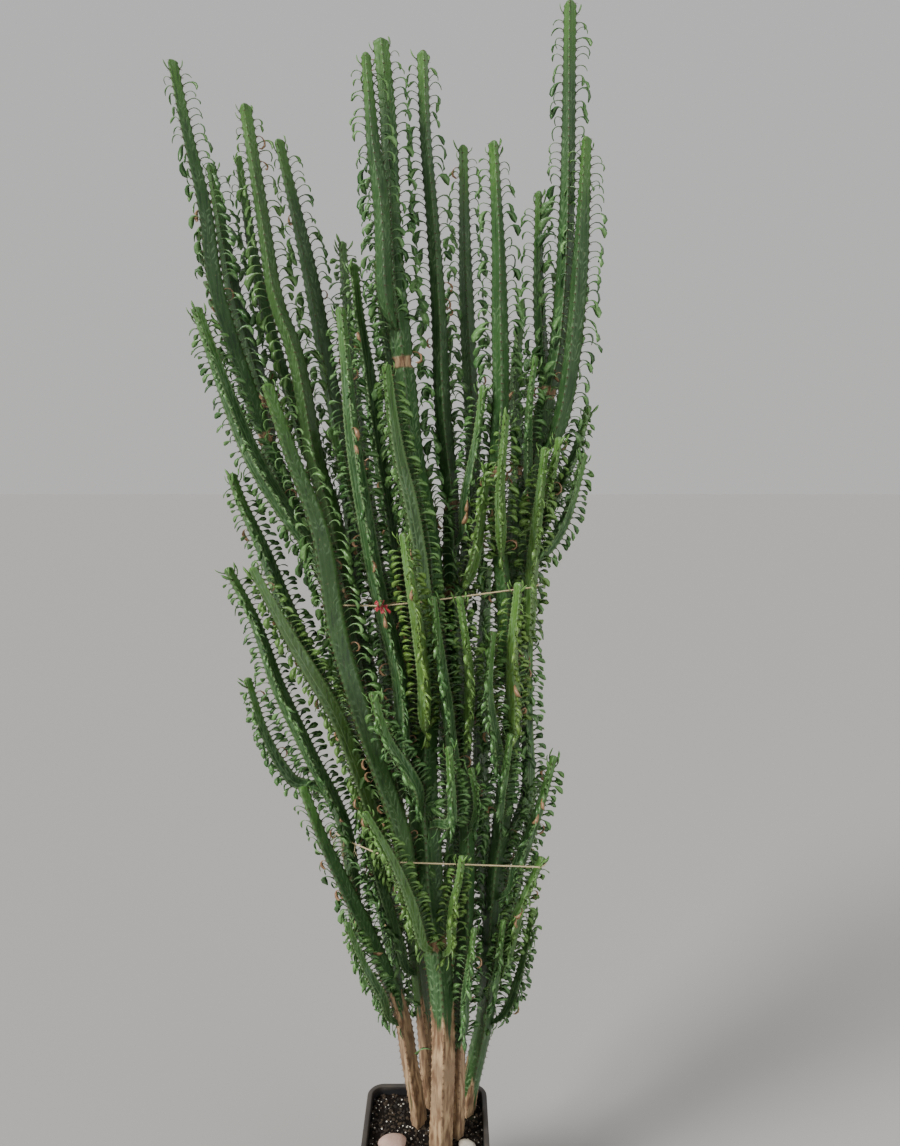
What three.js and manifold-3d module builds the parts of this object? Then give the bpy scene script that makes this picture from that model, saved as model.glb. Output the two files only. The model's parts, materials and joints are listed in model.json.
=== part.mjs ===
// An African milk tree (Euphorbia trigona), taller than a person, in a square black nursery pot.
// Five rooted cuttings stand in the soil. Each is a ribbed trunk, and three-ribbed branches leave it at a narrow
// neck and turn upwards. Every rib is toothed, with small spoon-shaped leaves and paired spines at its teeth.
// Two twine ties hold the bundle together, and the upper one carries a red ribbon rosette.
// Millimetres, +Z up. The origin is the middle of the pot's underside, and the viewer stands on the -Y side.
import * as THREE from "three";
import { mergeVertices } from "three/addons/utils/BufferGeometryUtils.js";
import Module from "manifold-3d";

const wasm = await Module();
wasm.setup();
const { Manifold, Mesh } = wasm;

// Pot: a square tapered shell with a turned-out lip
const POT = { rim: 250, foot: 196, height: 262, wall: 3.2, floor: 4, lip: 7, lipHeight: 17, corner: 26 };
const CORNER_STEPS = 3;
const SEAT_GAP = 0.3;
const SOIL_TOP = 244;
const BURIED = 75;

// Where the photograph was taken from, so that a column, a row and a depth give a place in space
const VIEW = { column: 450, row: 573, focal: 882, pitch: THREE.MathUtils.degToRad(8) };
const EYE = new THREE.Vector3(48, -1585, 1600);

// Stems: the girth is the width across two ribs, and a crest is the outer line of a rib
const CREST_PER_GIRTH = 0.585;
const GROOVE_PER_CREST = { 3: 0.45, 4: 0.6 };
const RING_STEP = 66;
const TOOTH_DEPTH = 2.2;
const NECK = { share: 0.5, length: 60 };
const TIP = { share: 0.62, length: 240, lengthShare: 0.35, dome: 10 };
const TIP_POINT = 0.3;
const BARK_TOP = 620;
const BARK_GROOVE = 0.72;
// A rib of each stem faces the viewer, give or take the swing, where a stem has no facing of its own
const FACING = { middle: -93, swing: 13, step: 2.4 };
const ELBOW = { out: 10, rise: 24, free: 130 };

// Stems that would cross are bent clear of each other along the line of sight
const KNOT_STEP = 45;
const CLEARANCE = 5;
const SETTLE_PASSES = 160;
const SETTLE_RATE = 0.35;

// Leaves, in their own frame: they grow along +X out of the crest and arch down
const LEAF = { length: 27, width: 11, thick: 1.9, root: 4, widest: 0.6, arch: 3, droop: 6, least: 0.7, kept: 0.38,
  pitch: 0.15, pitchSpread: 0.5, roll: 0.9, lifts: [0, 0.5, 0.9] };
const TIP_LEAF = { share: 0.7, pitch: 1.05 };
const SPINE = { length: 5, spread: 2.6, pitch: 0.1, share: 0.25 };
const SPROUT_SIZE = 1.9;
const PROBE_MORE = 1;
const HOLE_SIDES = 12;
const HOLE_ROOM = 1.5;
const STONE_FLAT = -0.34;
const STONES = [
  { name: "stone_pink", at: [-64, -32], size: [58, 42, 30], turn: 12 },
  { name: "stone_pale", at: [81, -34], size: [36, 26, 20], turn: -20 },
];

// Twine ties: each lies in a plane that rises by slope along X, and passes behind the loose stems
const TWINE = { radius: 1.5, gap: 0.5, bend: 0.8, sides: 8, knot: 4, tail: 26, tailShare: 0.8, tailSides: 6 };
const TIES = [
  { name: "twine_upper", height: 1334, slope: 0.1, knotNear: [170, 120], tails: [4, 9], rosette: "ribbon_rosette",
    loose: ["low_left_2", "low_left_4", "low_left_5", "top_left_6", "mid_middle_2", "mid_middle_4", "mid_middle_5",
      "mid_right_6", "mid_middle_6"] },
  { name: "twine_lower", height: 845, slope: -0.117, knotNear: [-170, 10], tails: [3, 10],
    loose: ["trunk_left", "low_middle_3", "low_middle_5", "low_right_1", "low_right_5"] },
];
const ROSETTE = { near: [-80, -66], petals: 5, petal: [2.6, 4.6, 6.4], ring: 7.5, cup: 0.35, heart: [4.5, 5, 5],
  gap: 0.3 };
const DRAW = { factor: 16807, modulus: 2147483647, seed: 4201 };

// Every stem runs through points of [column, row, depth] from base to tip. A trunk stands at root in the soil, and
// a branch leaves its parent, named by from, at the height given by at. Leafy is the height where leaves begin.
// A side shoot is fused with the stem that it grows from, as one piece.
const STEMS = [
  { name: "trunk_left", root: [-17, 34], girth: 34, leafy: 560,
    via: [[409, 1062, 30], [402, 1020, 20], [385, 975, 5], [362, 925, -12], [342, 884, -25], [323, 843, -30],
      [303, 791, -35]] },
  { name: "trunk_back_left", root: [6, 88], girth: 38, leafy: 900,
    via: [[427, 1040, 84], [420, 980, 80], [410, 900, 75], [398, 820, 70], [385, 760, 66], [372, 700, 62],
      [358, 640, 60], [345, 580, 58], [330, 510, 56], [317, 468, 56], [295, 353, 56], [276, 300, 56], [262, 215, 58],
      [245, 109, 60]] },
  { name: "trunk_front", root: [30, -30], girth: 40, ribs: 4, facing: 94, leafy: 900,
    swell: { height: 810, reach: 170, share: 0.45 },
    via: [[443, 1080, -28], [443, 1020, -24], [438, 960, -18], [428, 900, -14], [425, 852, -8], [424, 780, 0],
      [428, 700, 6], [431, 640, 8], [429, 550, 8], [411, 450, 8], [404, 375, 8], [393, 252, 8], [388, 116, 6],
      [381, 44, 4]] },
  { name: "trunk_middle", root: [62, 6], girth: 34, leafy: 900,
    via: [[458, 1060, 4], [460, 1010, 8], [464, 960, 10], [467, 900, 12], [467, 830, 14], [463, 760, 18],
      [459, 700, 22], [455, 640, 26], [452, 580, 30], [452, 509, 32], [445, 437, 34], [442, 390, 34], [439, 312, 34],
      [433, 219, 32], [426, 133, 28], [423, 56, 24]] },
  { name: "trunk_right", root: [84, 66], girth: 38, leafy: 760,
    via: [[476, 1062, 62], [485, 1020, 58], [489, 960, 50], [494, 890, 42], [501, 830, 36], [509, 760, 34],
      [515, 690, 34], [518, 620, 34], [519, 547, 34], [533, 469, 34], [545, 406, 34], [557, 359, 32], [563, 300, 30],
      [567, 219, 26], [570, 6, 20]] },

  { name: "low_left_1", from: "trunk_left", at: 468, girth: 25, leafy: 500,
    via: [[381, 997, 0], [364, 967, -14], [347, 926, -22]] },
  { name: "low_left_2", from: "trunk_left", at: 640, girth: 30, leafy: 760,
    via: [[345, 830, 20], [312, 760, 10], [288, 709, 0], [278, 687, 0], [254, 620, -5], [229, 572, -10]] },
  { name: "low_left_3", from: "low_left_2", at: 935, girth: 27, leafy: 900,
    via: [[299, 786, 25], [280, 766, 22], [264, 735, 20], [248, 682, 18]] },
  { name: "low_left_4", from: "trunk_back_left", at: 745, girth: 32, leafy: 900, facing: -112,
    via: [[380, 840, 20], [358, 775, -10], [334, 714, -30], [315, 682, -40], [283, 628, -50], [253, 572, -58]] },
  { name: "low_left_5", from: "trunk_back_left", at: 850, girth: 33, leafy: 1050,
    via: [[375, 800, 50], [350, 745, 44], [330, 705, 38], [307, 655, 34], [283, 602, 32], [264, 553, 30],
      [240, 500, 28], [232, 478, 28]] },
  { name: "top_left_1", from: "trunk_back_left", at: 1185, girth: 34, leafy: 1350,
    via: [[345, 625, 105], [318, 570, 95], [285, 490, 95], [250, 400, 90], [214, 289, 80], [203, 210, 75],
      [185, 130, 70], [172, 65, 66]] },
  { name: "top_left_2", from: "top_left_1", at: 1530, girth: 32, leafy: 1640,
    via: [[264, 400, 126], [247, 340, 130], [235, 300, 122], [222, 232, 116], [211, 168, 110]] },
  { name: "top_left_3", from: "trunk_back_left", at: 1560, girth: 26, leafy: 1600,
    via: [[294, 410, 110], [272, 340, 130], [254, 265, 132], [238, 160, 130]] },
  { name: "top_left_4", from: "trunk_back_left", at: 1290, girth: 33, leafy: 1450,
    via: [[354, 560, 112], [348, 500, 116], [340, 440, 118], [330, 387, 120], [309, 273, 120], [279, 144, 118]] },
  { name: "top_left_5", from: "trunk_back_left", at: 1105, girth: 36, leafy: 1350,
    via: [[348, 640, 20], [320, 560, 20], [286, 512, 10], [255, 462, 2], [233, 412, -4], [197, 312, -12]] },
  { name: "top_left_6", from: "trunk_front", at: 760, girth: 40, leafy: 1250,
    via: [[398, 830, -40], [374, 760, -52], [350, 687, -60], [334, 629, -62], [317, 531, -62], [292, 462, -60],
      [267, 389, -58]] },

  { name: "top_middle_1", from: "trunk_front", at: 1800, girth: 30, leafy: 1880,
    via: [[386, 300, -34], [381, 202, -36], [374, 151, -34], [366, 58, -30]] },
  { name: "top_middle_2", from: "trunk_back_left", at: 985, girth: 30, leafy: 1300,
    via: [[386, 710, 125], [380, 600, 160], [368, 500, 168], [354, 400, 168], [347, 310, 165], [342, 246, 162]] },
  { name: "top_middle_3", from: "trunk_front", at: 1135, girth: 30, leafy: 1300,
    via: [[404, 620, 50], [390, 530, 60], [378, 450, 60], [367, 370, 58], [359, 320, 56], [353, 268, 54]] },
  { name: "top_middle_4", from: "trunk_front", at: 935, girth: 32, leafy: 1250,
    via: [[400, 680, -30], [378, 590, -40], [364, 510, -42], [352, 430, -42], [347, 370, -40], [341, 312, -38]] },
  { name: "top_middle_5", from: "trunk_front", at: 1440, girth: 27, leafy: 1500,
    via: [[408, 490, 50], [397, 420, 62], [386, 344, 64], [380, 300, 62], [377, 266, 60]] },
  { name: "top_middle_6", from: "trunk_middle", at: 1250, girth: 30, leafy: 1450,
    via: [[462, 590, 90], [470, 530, 100], [473, 450, 100], [470, 375, 98], [467, 312, 96], [465, 254, 94],
      [463, 150, 90]] },
  { name: "top_middle_7", from: "trunk_right", at: 1150, girth: 32, leafy: 1400,
    via: [[506, 610, 0], [499, 530, -10], [498, 449, -12], [501, 406, -12], [500, 312, -10], [499, 250, -8],
      [494, 146, -6]] },

  { name: "top_right_1", from: "trunk_right", at: 1585, girth: 32, leafy: 1650,
    via: [[560, 420, 0], [571, 359, -6], [578, 281, -6], [582, 220, -6], [586, 142, -8]] },
  { name: "top_right_2", from: "trunk_right", at: 1660, girth: 25, leafy: 1700,
    via: [[545, 375, 52], [541, 328, 56], [539, 270, 56], [539, 196, 54]] },
  { name: "top_right_3", from: "trunk_right", at: 1515, girth: 21, leafy: 1560,
    via: [[528, 450, 0], [529, 406, -6], [535, 361, -8]] },
  { name: "top_right_4", from: "trunk_right", at: 1285, girth: 30, leafy: 1450,
    via: [[512, 560, 80], [515, 500, 96], [518, 450, 98], [514, 390, 98], [519, 332, 96]] },
  { name: "mid_right_1", from: "trunk_right", at: 1405, girth: 27, leafy: 1450,
    via: [[545, 520, 60], [562, 484, 62], [577, 450, 62], [588, 410, 60]] },
  { name: "mid_right_2", from: "trunk_right", at: 1375, girth: 27, leafy: 1400,
    via: [[543, 553, 20], [560, 530, 10], [572, 499, 6], [583, 458, 2]] },
  { name: "mid_right_3", from: "trunk_right", at: 1462, girth: 25, leafy: 1500,
    via: [[547, 492, -20], [554, 466, -30], [559, 442, -34]] },
  { name: "mid_right_4", from: "trunk_right", at: 1235, girth: 27, leafy: 1350,
    via: [[531, 588, 0], [538, 515, -40], [545, 452, -50]] },

  { name: "mid_middle_1", from: "trunk_front", at: 1195, girth: 32, leafy: 1300,
    via: [[424, 610, -36], [411, 519, -48], [396, 450, -50], [386, 369, -50]] },
  { name: "mid_middle_2", from: "trunk_front", at: 1070, girth: 28, leafy: 1150,
    via: [[424, 676, -56], [416, 615, -96], [410, 580, -104], [404, 538, -108]] },
  { name: "mid_middle_3", from: "trunk_front", at: 1005, girth: 32, leafy: 1200,
    via: [[402, 655, 60], [384, 592, 70], [369, 550, 72], [351, 495, 72], [331, 432, 70]] },
  { name: "mid_middle_4", from: "trunk_middle", at: 985, girth: 25, leafy: 1080,
    via: [[446, 700, -44], [440, 655, -76], [433, 601, -90]] },
  { name: "mid_middle_5", from: "trunk_middle", at: 1040, girth: 24, leafy: 1150,
    via: [[470, 695, -34], [467, 650, -76], [460, 601, -94]] },
  { name: "mid_middle_6", from: "trunk_middle", at: 1325, girth: 25, leafy: 1400,
    via: [[474, 560, -20], [482, 510, -36], [487, 468, -40]] },
  { name: "mid_middle_7", from: "trunk_middle", at: 1420, girth: 24, leafy: 1480,
    via: [[466, 500, 0], [477, 440, -14], [483, 390, -18]] },
  { name: "mid_middle_8", from: "top_middle_7", at: 1400, girth: 24, leafy: 1450,
    via: [[501, 530, -50], [500, 490, -62], [506, 419, -64]] },
  { name: "mid_right_5", from: "trunk_right", at: 965, girth: 26, leafy: 1050,
    via: [[496, 745, -20], [488, 695, -48], [492, 636, -60]] },
  { name: "mid_right_6", from: "trunk_right", at: 1040, girth: 30, leafy: 1150,
    via: [[514, 715, -20], [513, 650, -44], [519, 587, -52]] },
  { name: "mid_right_7", from: "trunk_right", at: 845, girth: 28, leafy: 950,
    via: [[526, 800, 70], [527, 720, 62], [529, 643, 58]] },

  { name: "low_middle_1", from: "trunk_front", at: 925, girth: 28, leafy: 980,
    via: [[415, 786, -66], [403, 766, -90], [387, 741, -104], [373, 697, -110]] },
  { name: "low_middle_2", from: "trunk_front", at: 890, girth: 25, leafy: 930,
    via: [[451, 822, -72], [451, 786, -84], [449, 751, -88]] },
  { name: "low_middle_3", from: "trunk_front", at: 650, girth: 26, leafy: 720,
    via: [[408, 900, -70], [390, 858, -92], [366, 816, -100]] },
  { name: "low_middle_4", from: "trunk_middle", at: 880, girth: 22, leafy: 930,
    via: [[477, 816, -30], [476, 795, -42], [472, 772, -48]] },

  { name: "low_right_1", from: "trunk_right", at: 720, girth: 27, leafy: 800,
    via: [[516, 872, 20], [530, 835, 10], [542, 800, 4], [553, 760, 0]] },
  { name: "low_right_2", from: "trunk_right", at: 560, girth: 28, leafy: 620,
    via: [[508, 950, 20], [518, 915, 6], [529, 888, 0], [541, 861, -4]] },
  { name: "low_right_3", from: "trunk_right", at: 440, girth: 24, leafy: 520,
    via: [[503, 1020, 62], [515, 992, 60], [524, 960, 58], [532, 918, 56]] },
  { name: "low_left_6", from: "trunk_back_left", at: 540, girth: 28, leafy: 640,
    via: [[404, 965, 56], [386, 905, 36], [370, 850, 26], [357, 800, 20]] },
  { name: "low_middle_5", from: "trunk_front", at: 640, girth: 25, leafy: 700,
    via: [[452, 912, -46], [458, 886, -58], [462, 860, -62]] },
  { name: "low_right_5", from: "trunk_right", at: 590, girth: 27, leafy: 680,
    via: [[506, 930, 92], [516, 885, 104], [526, 840, 106], [533, 792, 104]] },
  { name: "low_right_4", from: "trunk_right", at: 890, girth: 25, leafy: 950,
    via: [[499, 806, -10], [505, 772, -26], [510, 738, -34]] },

  { name: "shoot_back_left", from: "trunk_back_left", fused: true, at: 610, girth: 32, leafy: 760,
    via: [[400, 930, 128], [384, 870, 138], [366, 800, 138], [350, 735, 130], [338, 680, 122], [330, 630, 116]] },
  { name: "shoot_back_middle", from: "trunk_middle", fused: true, at: 690, girth: 34, leafy: 800,
    via: [[462, 900, 80], [454, 840, 112], [447, 770, 130], [443, 700, 136], [441, 630, 136], [440, 570, 134]] },
  { name: "shoot_back_right", from: "trunk_right", fused: true, at: 640, girth: 34, leafy: 800,
    via: [[488, 905, 104], [483, 840, 128], [481, 760, 138], [482, 680, 140], [485, 610, 140], [487, 570, 138]] },
  { name: "shoot_low_middle", from: "trunk_middle", fused: true, at: 520, girth: 26, leafy: 600,
    via: [[456, 960, 60], [450, 915, 76], [448, 870, 84], [451, 830, 86]] },
  { name: "shoot_low_right", from: "trunk_right", fused: true, at: 530, girth: 26, leafy: 600,
    via: [[496, 960, 110], [500, 915, 128], [505, 870, 134], [510, 828, 134]] },
  { name: "shoot_low_left", from: "trunk_back_left", fused: true, at: 455, girth: 26, leafy: 560,
    via: [[404, 1010, 104], [392, 955, 118], [380, 905, 122], [370, 862, 120]] },
  { name: "shoot_front_middle", from: "trunk_middle", fused: true, at: 455, girth: 22, leafy: 500,
    via: [[465, 1000, -34], [469, 968, -50], [474, 932, -56]] },
  { name: "shoot_front_right", from: "trunk_right", fused: true, at: 490, girth: 22, leafy: 540,
    via: [[494, 990, 8], [499, 958, -8], [503, 924, -14]] },
];

function fromPhoto([column, row, depth]) {
  const across = (column - VIEW.column) / VIEW.focal;
  const up = (VIEW.row - row) / VIEW.focal;
  const ray = new THREE.Vector3(
    across,
    Math.cos(VIEW.pitch) + up * Math.sin(VIEW.pitch),
    up * Math.cos(VIEW.pitch) - Math.sin(VIEW.pitch),
  );
  return ray.multiplyScalar((depth - EYE.y) / ray.y).add(EYE);
}

// A closed mesh as a solid, and a solid as a mesh geometry
function toSolid(geometry) {
  const bare = new THREE.BufferGeometry();
  bare.setAttribute("position", geometry.getAttribute("position").clone());
  if (geometry.index) bare.setIndex(geometry.index);
  const merged = mergeVertices(bare, 1e-4);
  const mesh = new Mesh({
    numProp: 3,
    vertProperties: new Float32Array(merged.attributes.position.array),
    triVerts: new Uint32Array(merged.index.array),
  });
  mesh.merge();
  return new Manifold(mesh);
}

function toGeometry(solid) {
  const mesh = solid.getMesh();
  const geometry = new THREE.BufferGeometry();
  geometry.setAttribute("position", new THREE.BufferAttribute(mesh.vertProperties, 3));
  geometry.setIndex(new THREE.BufferAttribute(mesh.triVerts, 1));
  geometry.computeVertexNormals();
  return geometry;
}

function largestPiece(solid) {
  const pieces = solid.decompose();
  return pieces.reduce((best, piece) => (piece.volume() > best.volume() ? piece : best));
}

function smoothRamp(value, from, to) {
  return THREE.MathUtils.smoothstep(value, from, to);
}

// A closed skin over rings that all have the same number of points, with a fan over each end
function loft(rings) {
  const count = rings[0].length;
  const points = rings.flat();
  const index = [];
  for (let level = 0; level + 1 < rings.length; level++) {
    for (let i = 0; i < count; i++) {
      const next = (i + 1) % count;
      const a = level * count + i;
      const b = level * count + next;
      index.push(a, b, b + count, a, b + count, a + count);
    }
  }
  const foot = points.push(centreOf(rings[0])) - 1;
  const head = points.push(centreOf(rings[rings.length - 1])) - 1;
  const last = (rings.length - 1) * count;
  for (let i = 0; i < count; i++) {
    const next = (i + 1) % count;
    index.push(foot, next, i, head, last + i, last + next);
  }
  return { points, index };
}

function skinGeometry({ points, index }) {
  return new THREE.BufferGeometry().setFromPoints(points).setIndex(index);
}

function centreOf(ring) {
  const sum = new THREE.Vector3();
  for (const point of ring) sum.add(point);
  return sum.divideScalar(ring.length);
}

// Evenly spaced points along the smooth curve through the given ones
function evenPoints(points, step) {
  const dense = new THREE.CatmullRomCurve3(points, false, "centripetal").getPoints(points.length * 12);
  const run = [0];
  for (let i = 1; i < dense.length; i++) run.push(run[i - 1] + dense[i].distanceTo(dense[i - 1]));
  const total = run[run.length - 1];
  const count = Math.max(2, Math.round(total / step));
  const result = [];
  let at = 0;
  for (let k = 0; k <= count; k++) {
    const target = (total * k) / count;
    while (at < run.length - 2 && run[at + 1] < target) at++;
    const share = (target - run[at]) / (run[at + 1] - run[at]);
    result.push(dense[at].clone().lerp(dense[at + 1], share));
  }
  return result;
}

// The place on a stem's line at a height, as a knot number with a fraction
function knotAtHeight(points, height) {
  for (let i = 1; i < points.length; i++) {
    if (points[i].z >= height) {
      return i - 1 + (height - points[i - 1].z) / (points[i].z - points[i - 1].z);
    }
  }
  return points.length - 1;
}

function between(values, place, mix) {
  const low = Math.min(Math.floor(place), values.length - 2);
  return mix(values[low], values[low + 1], place - low);
}

const mixPoints = (a, b, share) => a.clone().lerp(b, share);

// First the lines as drawn, then the settling that bends crossing stems clear of each other
function drawLines() {
  const byName = {};
  STEMS.forEach((entry, order) => {
    const facing = entry.facing ?? FACING.middle + FACING.swing * Math.sin(order * FACING.step);
    const turn = THREE.MathUtils.degToRad(facing);
    const stem = { ribs: 3, ...entry, turn, crest: entry.girth * CREST_PER_GIRTH };
    const via = entry.via.map(fromPhoto);
    if (entry.root) {
      const [x, y] = entry.root;
      via.unshift(new THREE.Vector3(x, y, SOIL_TOP - BURIED), new THREE.Vector3(x, y, SOIL_TOP + 15));
    } else {
      const parent = byName[entry.from];
      const place = knotAtHeight(parent.knots, entry.at);
      const start = between(parent.knots, place, mixPoints);
      const out = via[0].clone().sub(start).setZ(0).normalize();
      const elbow = start.clone().addScaledVector(out, parent.crest + ELBOW.out);
      elbow.z += ELBOW.rise;
      via.unshift(start, elbow);
      stem.parent = parent;
      stem.parentPlace = place;
    }
    stem.knots = evenPoints(via, KNOT_STEP);
    stem.length = KNOT_STEP * (stem.knots.length - 1);
    byName[entry.name] = stem;
  });
  return Object.values(byName);
}

// How stout a stem is at a run from its foot, as a share of its full crest: a narrow neck and a slim top
function stoutness(stem, run) {
  const neck = stem.parent ? smoothRamp(run, stem.parent.crest * 0.5, stem.parent.crest + NECK.length) : 1;
  const tipLength = Math.max(TIP.length, TIP.lengthShare * stem.length);
  const tip = smoothRamp(stem.length - run, 0, tipLength);
  const plain = (NECK.share + (1 - NECK.share) * neck) * (TIP.share + (1 - TIP.share) * tip);
  if (!stem.swell) return plain;
  const { height, reach, share } = stem.swell;
  const away = (SOIL_TOP - BURIED + run - height) / reach;
  return plain + share * Math.exp(-away * away);
}

function settle(stems) {
  const spots = [];
  for (const stem of stems) {
    stem.shift = stem.knots.map(() => 0);
    stem.sight = stem.knots.map((knot) => knot.clone().sub(EYE).normalize());
    stem.knots.forEach((knot, i) => {
      const run = i * KNOT_STEP;
      spots.push({ stem, i, run, crest: stem.crest * stoutness(stem, run) });
    });
  }
  const place = ({ stem, i }) => stem.knots[i].clone().addScaledVector(stem.sight[i], stem.shift[i]);
  for (let pass = 0; pass < SETTLE_PASSES; pass++) {
    const places = spots.map(place);
    const push = spots.map(() => 0);
    for (let a = 0; a < spots.length; a++) {
      for (let b = a + 1; b < spots.length; b++) {
        if (joined(spots[a], spots[b]) || joined(spots[b], spots[a])) continue;
        if (spots[a].stem === spots[b].stem) continue;
        const need = spots[a].crest + spots[b].crest + CLEARANCE;
        const gap = places[a].clone().sub(places[b]);
        const flat = Math.hypot(gap.x, gap.z * 0.5);
        if (flat >= need || gap.length() >= need) continue;
        if (Math.abs(gap.z) > KNOT_STEP) continue;
        const wanted = Math.sqrt(need * need - flat * flat);
        const more = (wanted - Math.abs(gap.y)) / 2;
        const side = gap.y >= 0 ? 1 : -1;
        push[a] += side * more;
        push[b] -= side * more;
      }
    }
    spots.forEach(({ stem, i }, k) => {
      stem.shift[i] += push[k] * SETTLE_RATE;
    });
    for (const stem of stems) relax(stem);
  }
  for (const stem of stems) {
    stem.knots = stem.knots.map((knot, i) => knot.clone().addScaledVector(stem.sight[i], stem.shift[i]));
  }
}

// The foot of a branch stays on its parent
function joined(branch, other) {
  return branch.stem.parent === other.stem && branch.run < ELBOW.free;
}

function relax(stem) {
  const { shift } = stem;
  const foot = stem.parent ? between(stem.parent.shift, stem.parentPlace, THREE.MathUtils.lerp) : 0;
  shift[0] = foot;
  shift[1] = foot;
  if (!stem.parent) shift[2] = foot;
  const before = shift.slice();
  for (let i = 2; i + 1 < shift.length; i++) {
    shift[i] = before[i] * 0.5 + (before[i - 1] + before[i + 1]) * 0.25;
  }
}

// The rings of a stem, each with its place, direction and sizes. The last one is the small ring of the dome
function stemRings(stem, grown = 0) {
  const line = evenPoints(stem.knots, RING_STEP);
  const last = line.length - 1;
  const rings = line.map((centre, i) => {
    const along = line[Math.min(i + 1, last)].clone().sub(line[Math.max(i - 1, 0)]).normalize();
    if (!stem.parent && i === 0) along.set(0, 0, 1);
    const crest = stem.crest * stoutness(stem, (stem.length * i) / last) + grown;
    const bark = stem.parent ? 0 : 1 - smoothRamp(centre.z, SOIL_TOP, BARK_TOP);
    const share = THREE.MathUtils.lerp(GROOVE_PER_CREST[stem.ribs], BARK_GROOVE, bark);
    return { centre, along, crest, groove: crest * share + grown };
  });
  const { centre, along, crest, groove } = rings[last];
  const top = centre.clone().addScaledVector(along, TIP.dome + grown);
  rings.push({ centre: top, along, crest: crest * TIP_POINT, groove: groove * TIP_POINT });
  return rings;
}

// Teeth stand on every second ring of a rib, and neighbouring ribs take turns. The tip has one on every rib
function isTooth(level, rib, rings) {
  const tipLevel = rings.length - 2;
  return level === tipLevel || (level < tipLevel - 1 && (level + rib) % 2 === 0);
}

// One cross-section of a stem: crest and groove points in turn, square to the line of the stem
function section(ring, level, rings, stem) {
  const points = [];
  for (let i = 0; i < stem.ribs * 2; i++) {
    const notch = isTooth(level, i / 2, rings) ? 0 : TOOTH_DEPTH;
    const reach = i % 2 === 0 ? Math.max(ring.crest - notch, ring.groove) : ring.groove;
    points.push(spokeOf(stem, ring, i / 2).multiplyScalar(reach).add(ring.centre));
  }
  return points;
}

// The way straight out from a stem's line along a rib, or between two ribs at a half number
function spokeOf(stem, ring, rib) {
  const angle = stem.turn + (rib * 2 * Math.PI) / stem.ribs;
  const upright = new THREE.Quaternion().setFromUnitVectors(new THREE.Vector3(0, 0, 1), ring.along);
  return new THREE.Vector3(Math.cos(angle), Math.sin(angle), 0).applyQuaternion(upright);
}

// The skin of a stem as points and triangles, opened at each sprout to let a leaf or a pair of spines grow out
function stemSolid(stem, grown = 0, sprouts = []) {
  const rings = stemRings(stem, grown);
  const skin = loft(rings.map((ring, level) => section(ring, level, rings, stem)));
  for (const sprout of sprouts) {
    const corners = openCrest(skin, sprout.level, sprout.rib * 2, stem.ribs * 2);
    if (sprout.leaf) growBlade(skin, corners, sprout);
    else growSpines(skin, corners, sprout);
  }
  return toSolid(skinGeometry(skin));
}

// The triangles round a crest point are shared out among four corners: right, upper, left and lower
function openCrest(skin, level, i, count) {
  const at = (row, column) => row * count + ((column + count) % count);
  const point = at(level, i);
  const around = [at(level, i + 1), at(level + 1, i + 1), at(level + 1, i), at(level, i - 1), at(level - 1, i - 1),
    at(level - 1, i)];
  const corners = [0, 2, 3, 5].map((side) => {
    const step = skin.points[around[side]].clone().sub(skin.points[point]).setLength(SPROUT_SIZE);
    return skin.points.push(skin.points[point].clone().add(step)) - 1;
  });
  const [right, upper, left, lower] = corners;
  const owners = [right, upper, upper, left, lower, lower];
  for (let t = 0; t < skin.index.length; t += 3) {
    const where = [0, 1, 2].find((k) => skin.index[t + k] === point);
    if (where === undefined) continue;
    const next = skin.index[t + ((where + 1) % 3)];
    skin.index[t + where] = owners[around.indexOf(next)];
  }
  skin.index.push(right, around[1], upper, upper, around[3], left, left, around[4], lower, lower, around[0], right);
  return corners;
}

function growBlade(skin, corners, { frame, length, width }) {
  const spots = bladePoints(length, width, LEAF.thick).map((point) => point.applyMatrix4(frame));
  const [right, upper, left, lower, tip] = spots.slice(1).map((spot) => skin.points.push(spot) - 1);
  const wide = [right, upper, left, lower];
  for (let k = 0; k < 4; k++) {
    const next = (k + 1) % 4;
    skin.index.push(corners[k], corners[next], wide[next], corners[k], wide[next], wide[k]);
    skin.index.push(wide[k], wide[next], tip);
  }
}

function growSpines(skin, [right, upper, left, lower], { frame }) {
  const [tipRight, tipLeft] = [1, -1].map((hand) => {
    const tip = new THREE.Vector3(SPINE.length, hand * SPINE.spread, 0).applyMatrix4(frame);
    return skin.points.push(tip) - 1;
  });
  skin.index.push(right, upper, tipRight, lower, right, tipRight, upper, lower, tipRight);
  skin.index.push(upper, left, tipLeft, left, lower, tipLeft, lower, upper, tipLeft);
}

// A leaf is a thin arched blade: a root point, four points where it is widest, and a tip
function bladePoints(length, width, thick) {
  const wide = LEAF.widest * length;
  const { arch, droop, root } = LEAF;
  return [
    new THREE.Vector3(-root, 0, 0),
    new THREE.Vector3(wide, width / 2, arch),
    new THREE.Vector3(wide, 0, arch + thick / 2),
    new THREE.Vector3(wide, -width / 2, arch),
    new THREE.Vector3(wide, 0, arch - thick / 2),
    new THREE.Vector3(length, 0, arch - droop),
  ];
}

// A slightly grown blade on its own, to test that a leaf is clear of its neighbours
function bladeProbe(length, width, thick) {
  const geometry = new THREE.BufferGeometry().setFromPoints(bladePoints(length, width, thick));
  return toSolid(geometry.setIndex([0, 2, 1, 0, 3, 2, 0, 4, 3, 0, 1, 4, 5, 1, 2, 5, 2, 3, 5, 3, 4, 5, 4, 1]));
}

// A branch stops just short of its parent's skin, and a fused shoot starts inside it
function seatedStem(stem, sprouts) {
  const whole = stemSolid(stem, 0, sprouts);
  if (!stem.parent || stem.fused) return whole;
  return largestPiece(whole.subtract(stemSolid(stem.parent, SEAT_GAP)));
}

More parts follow.
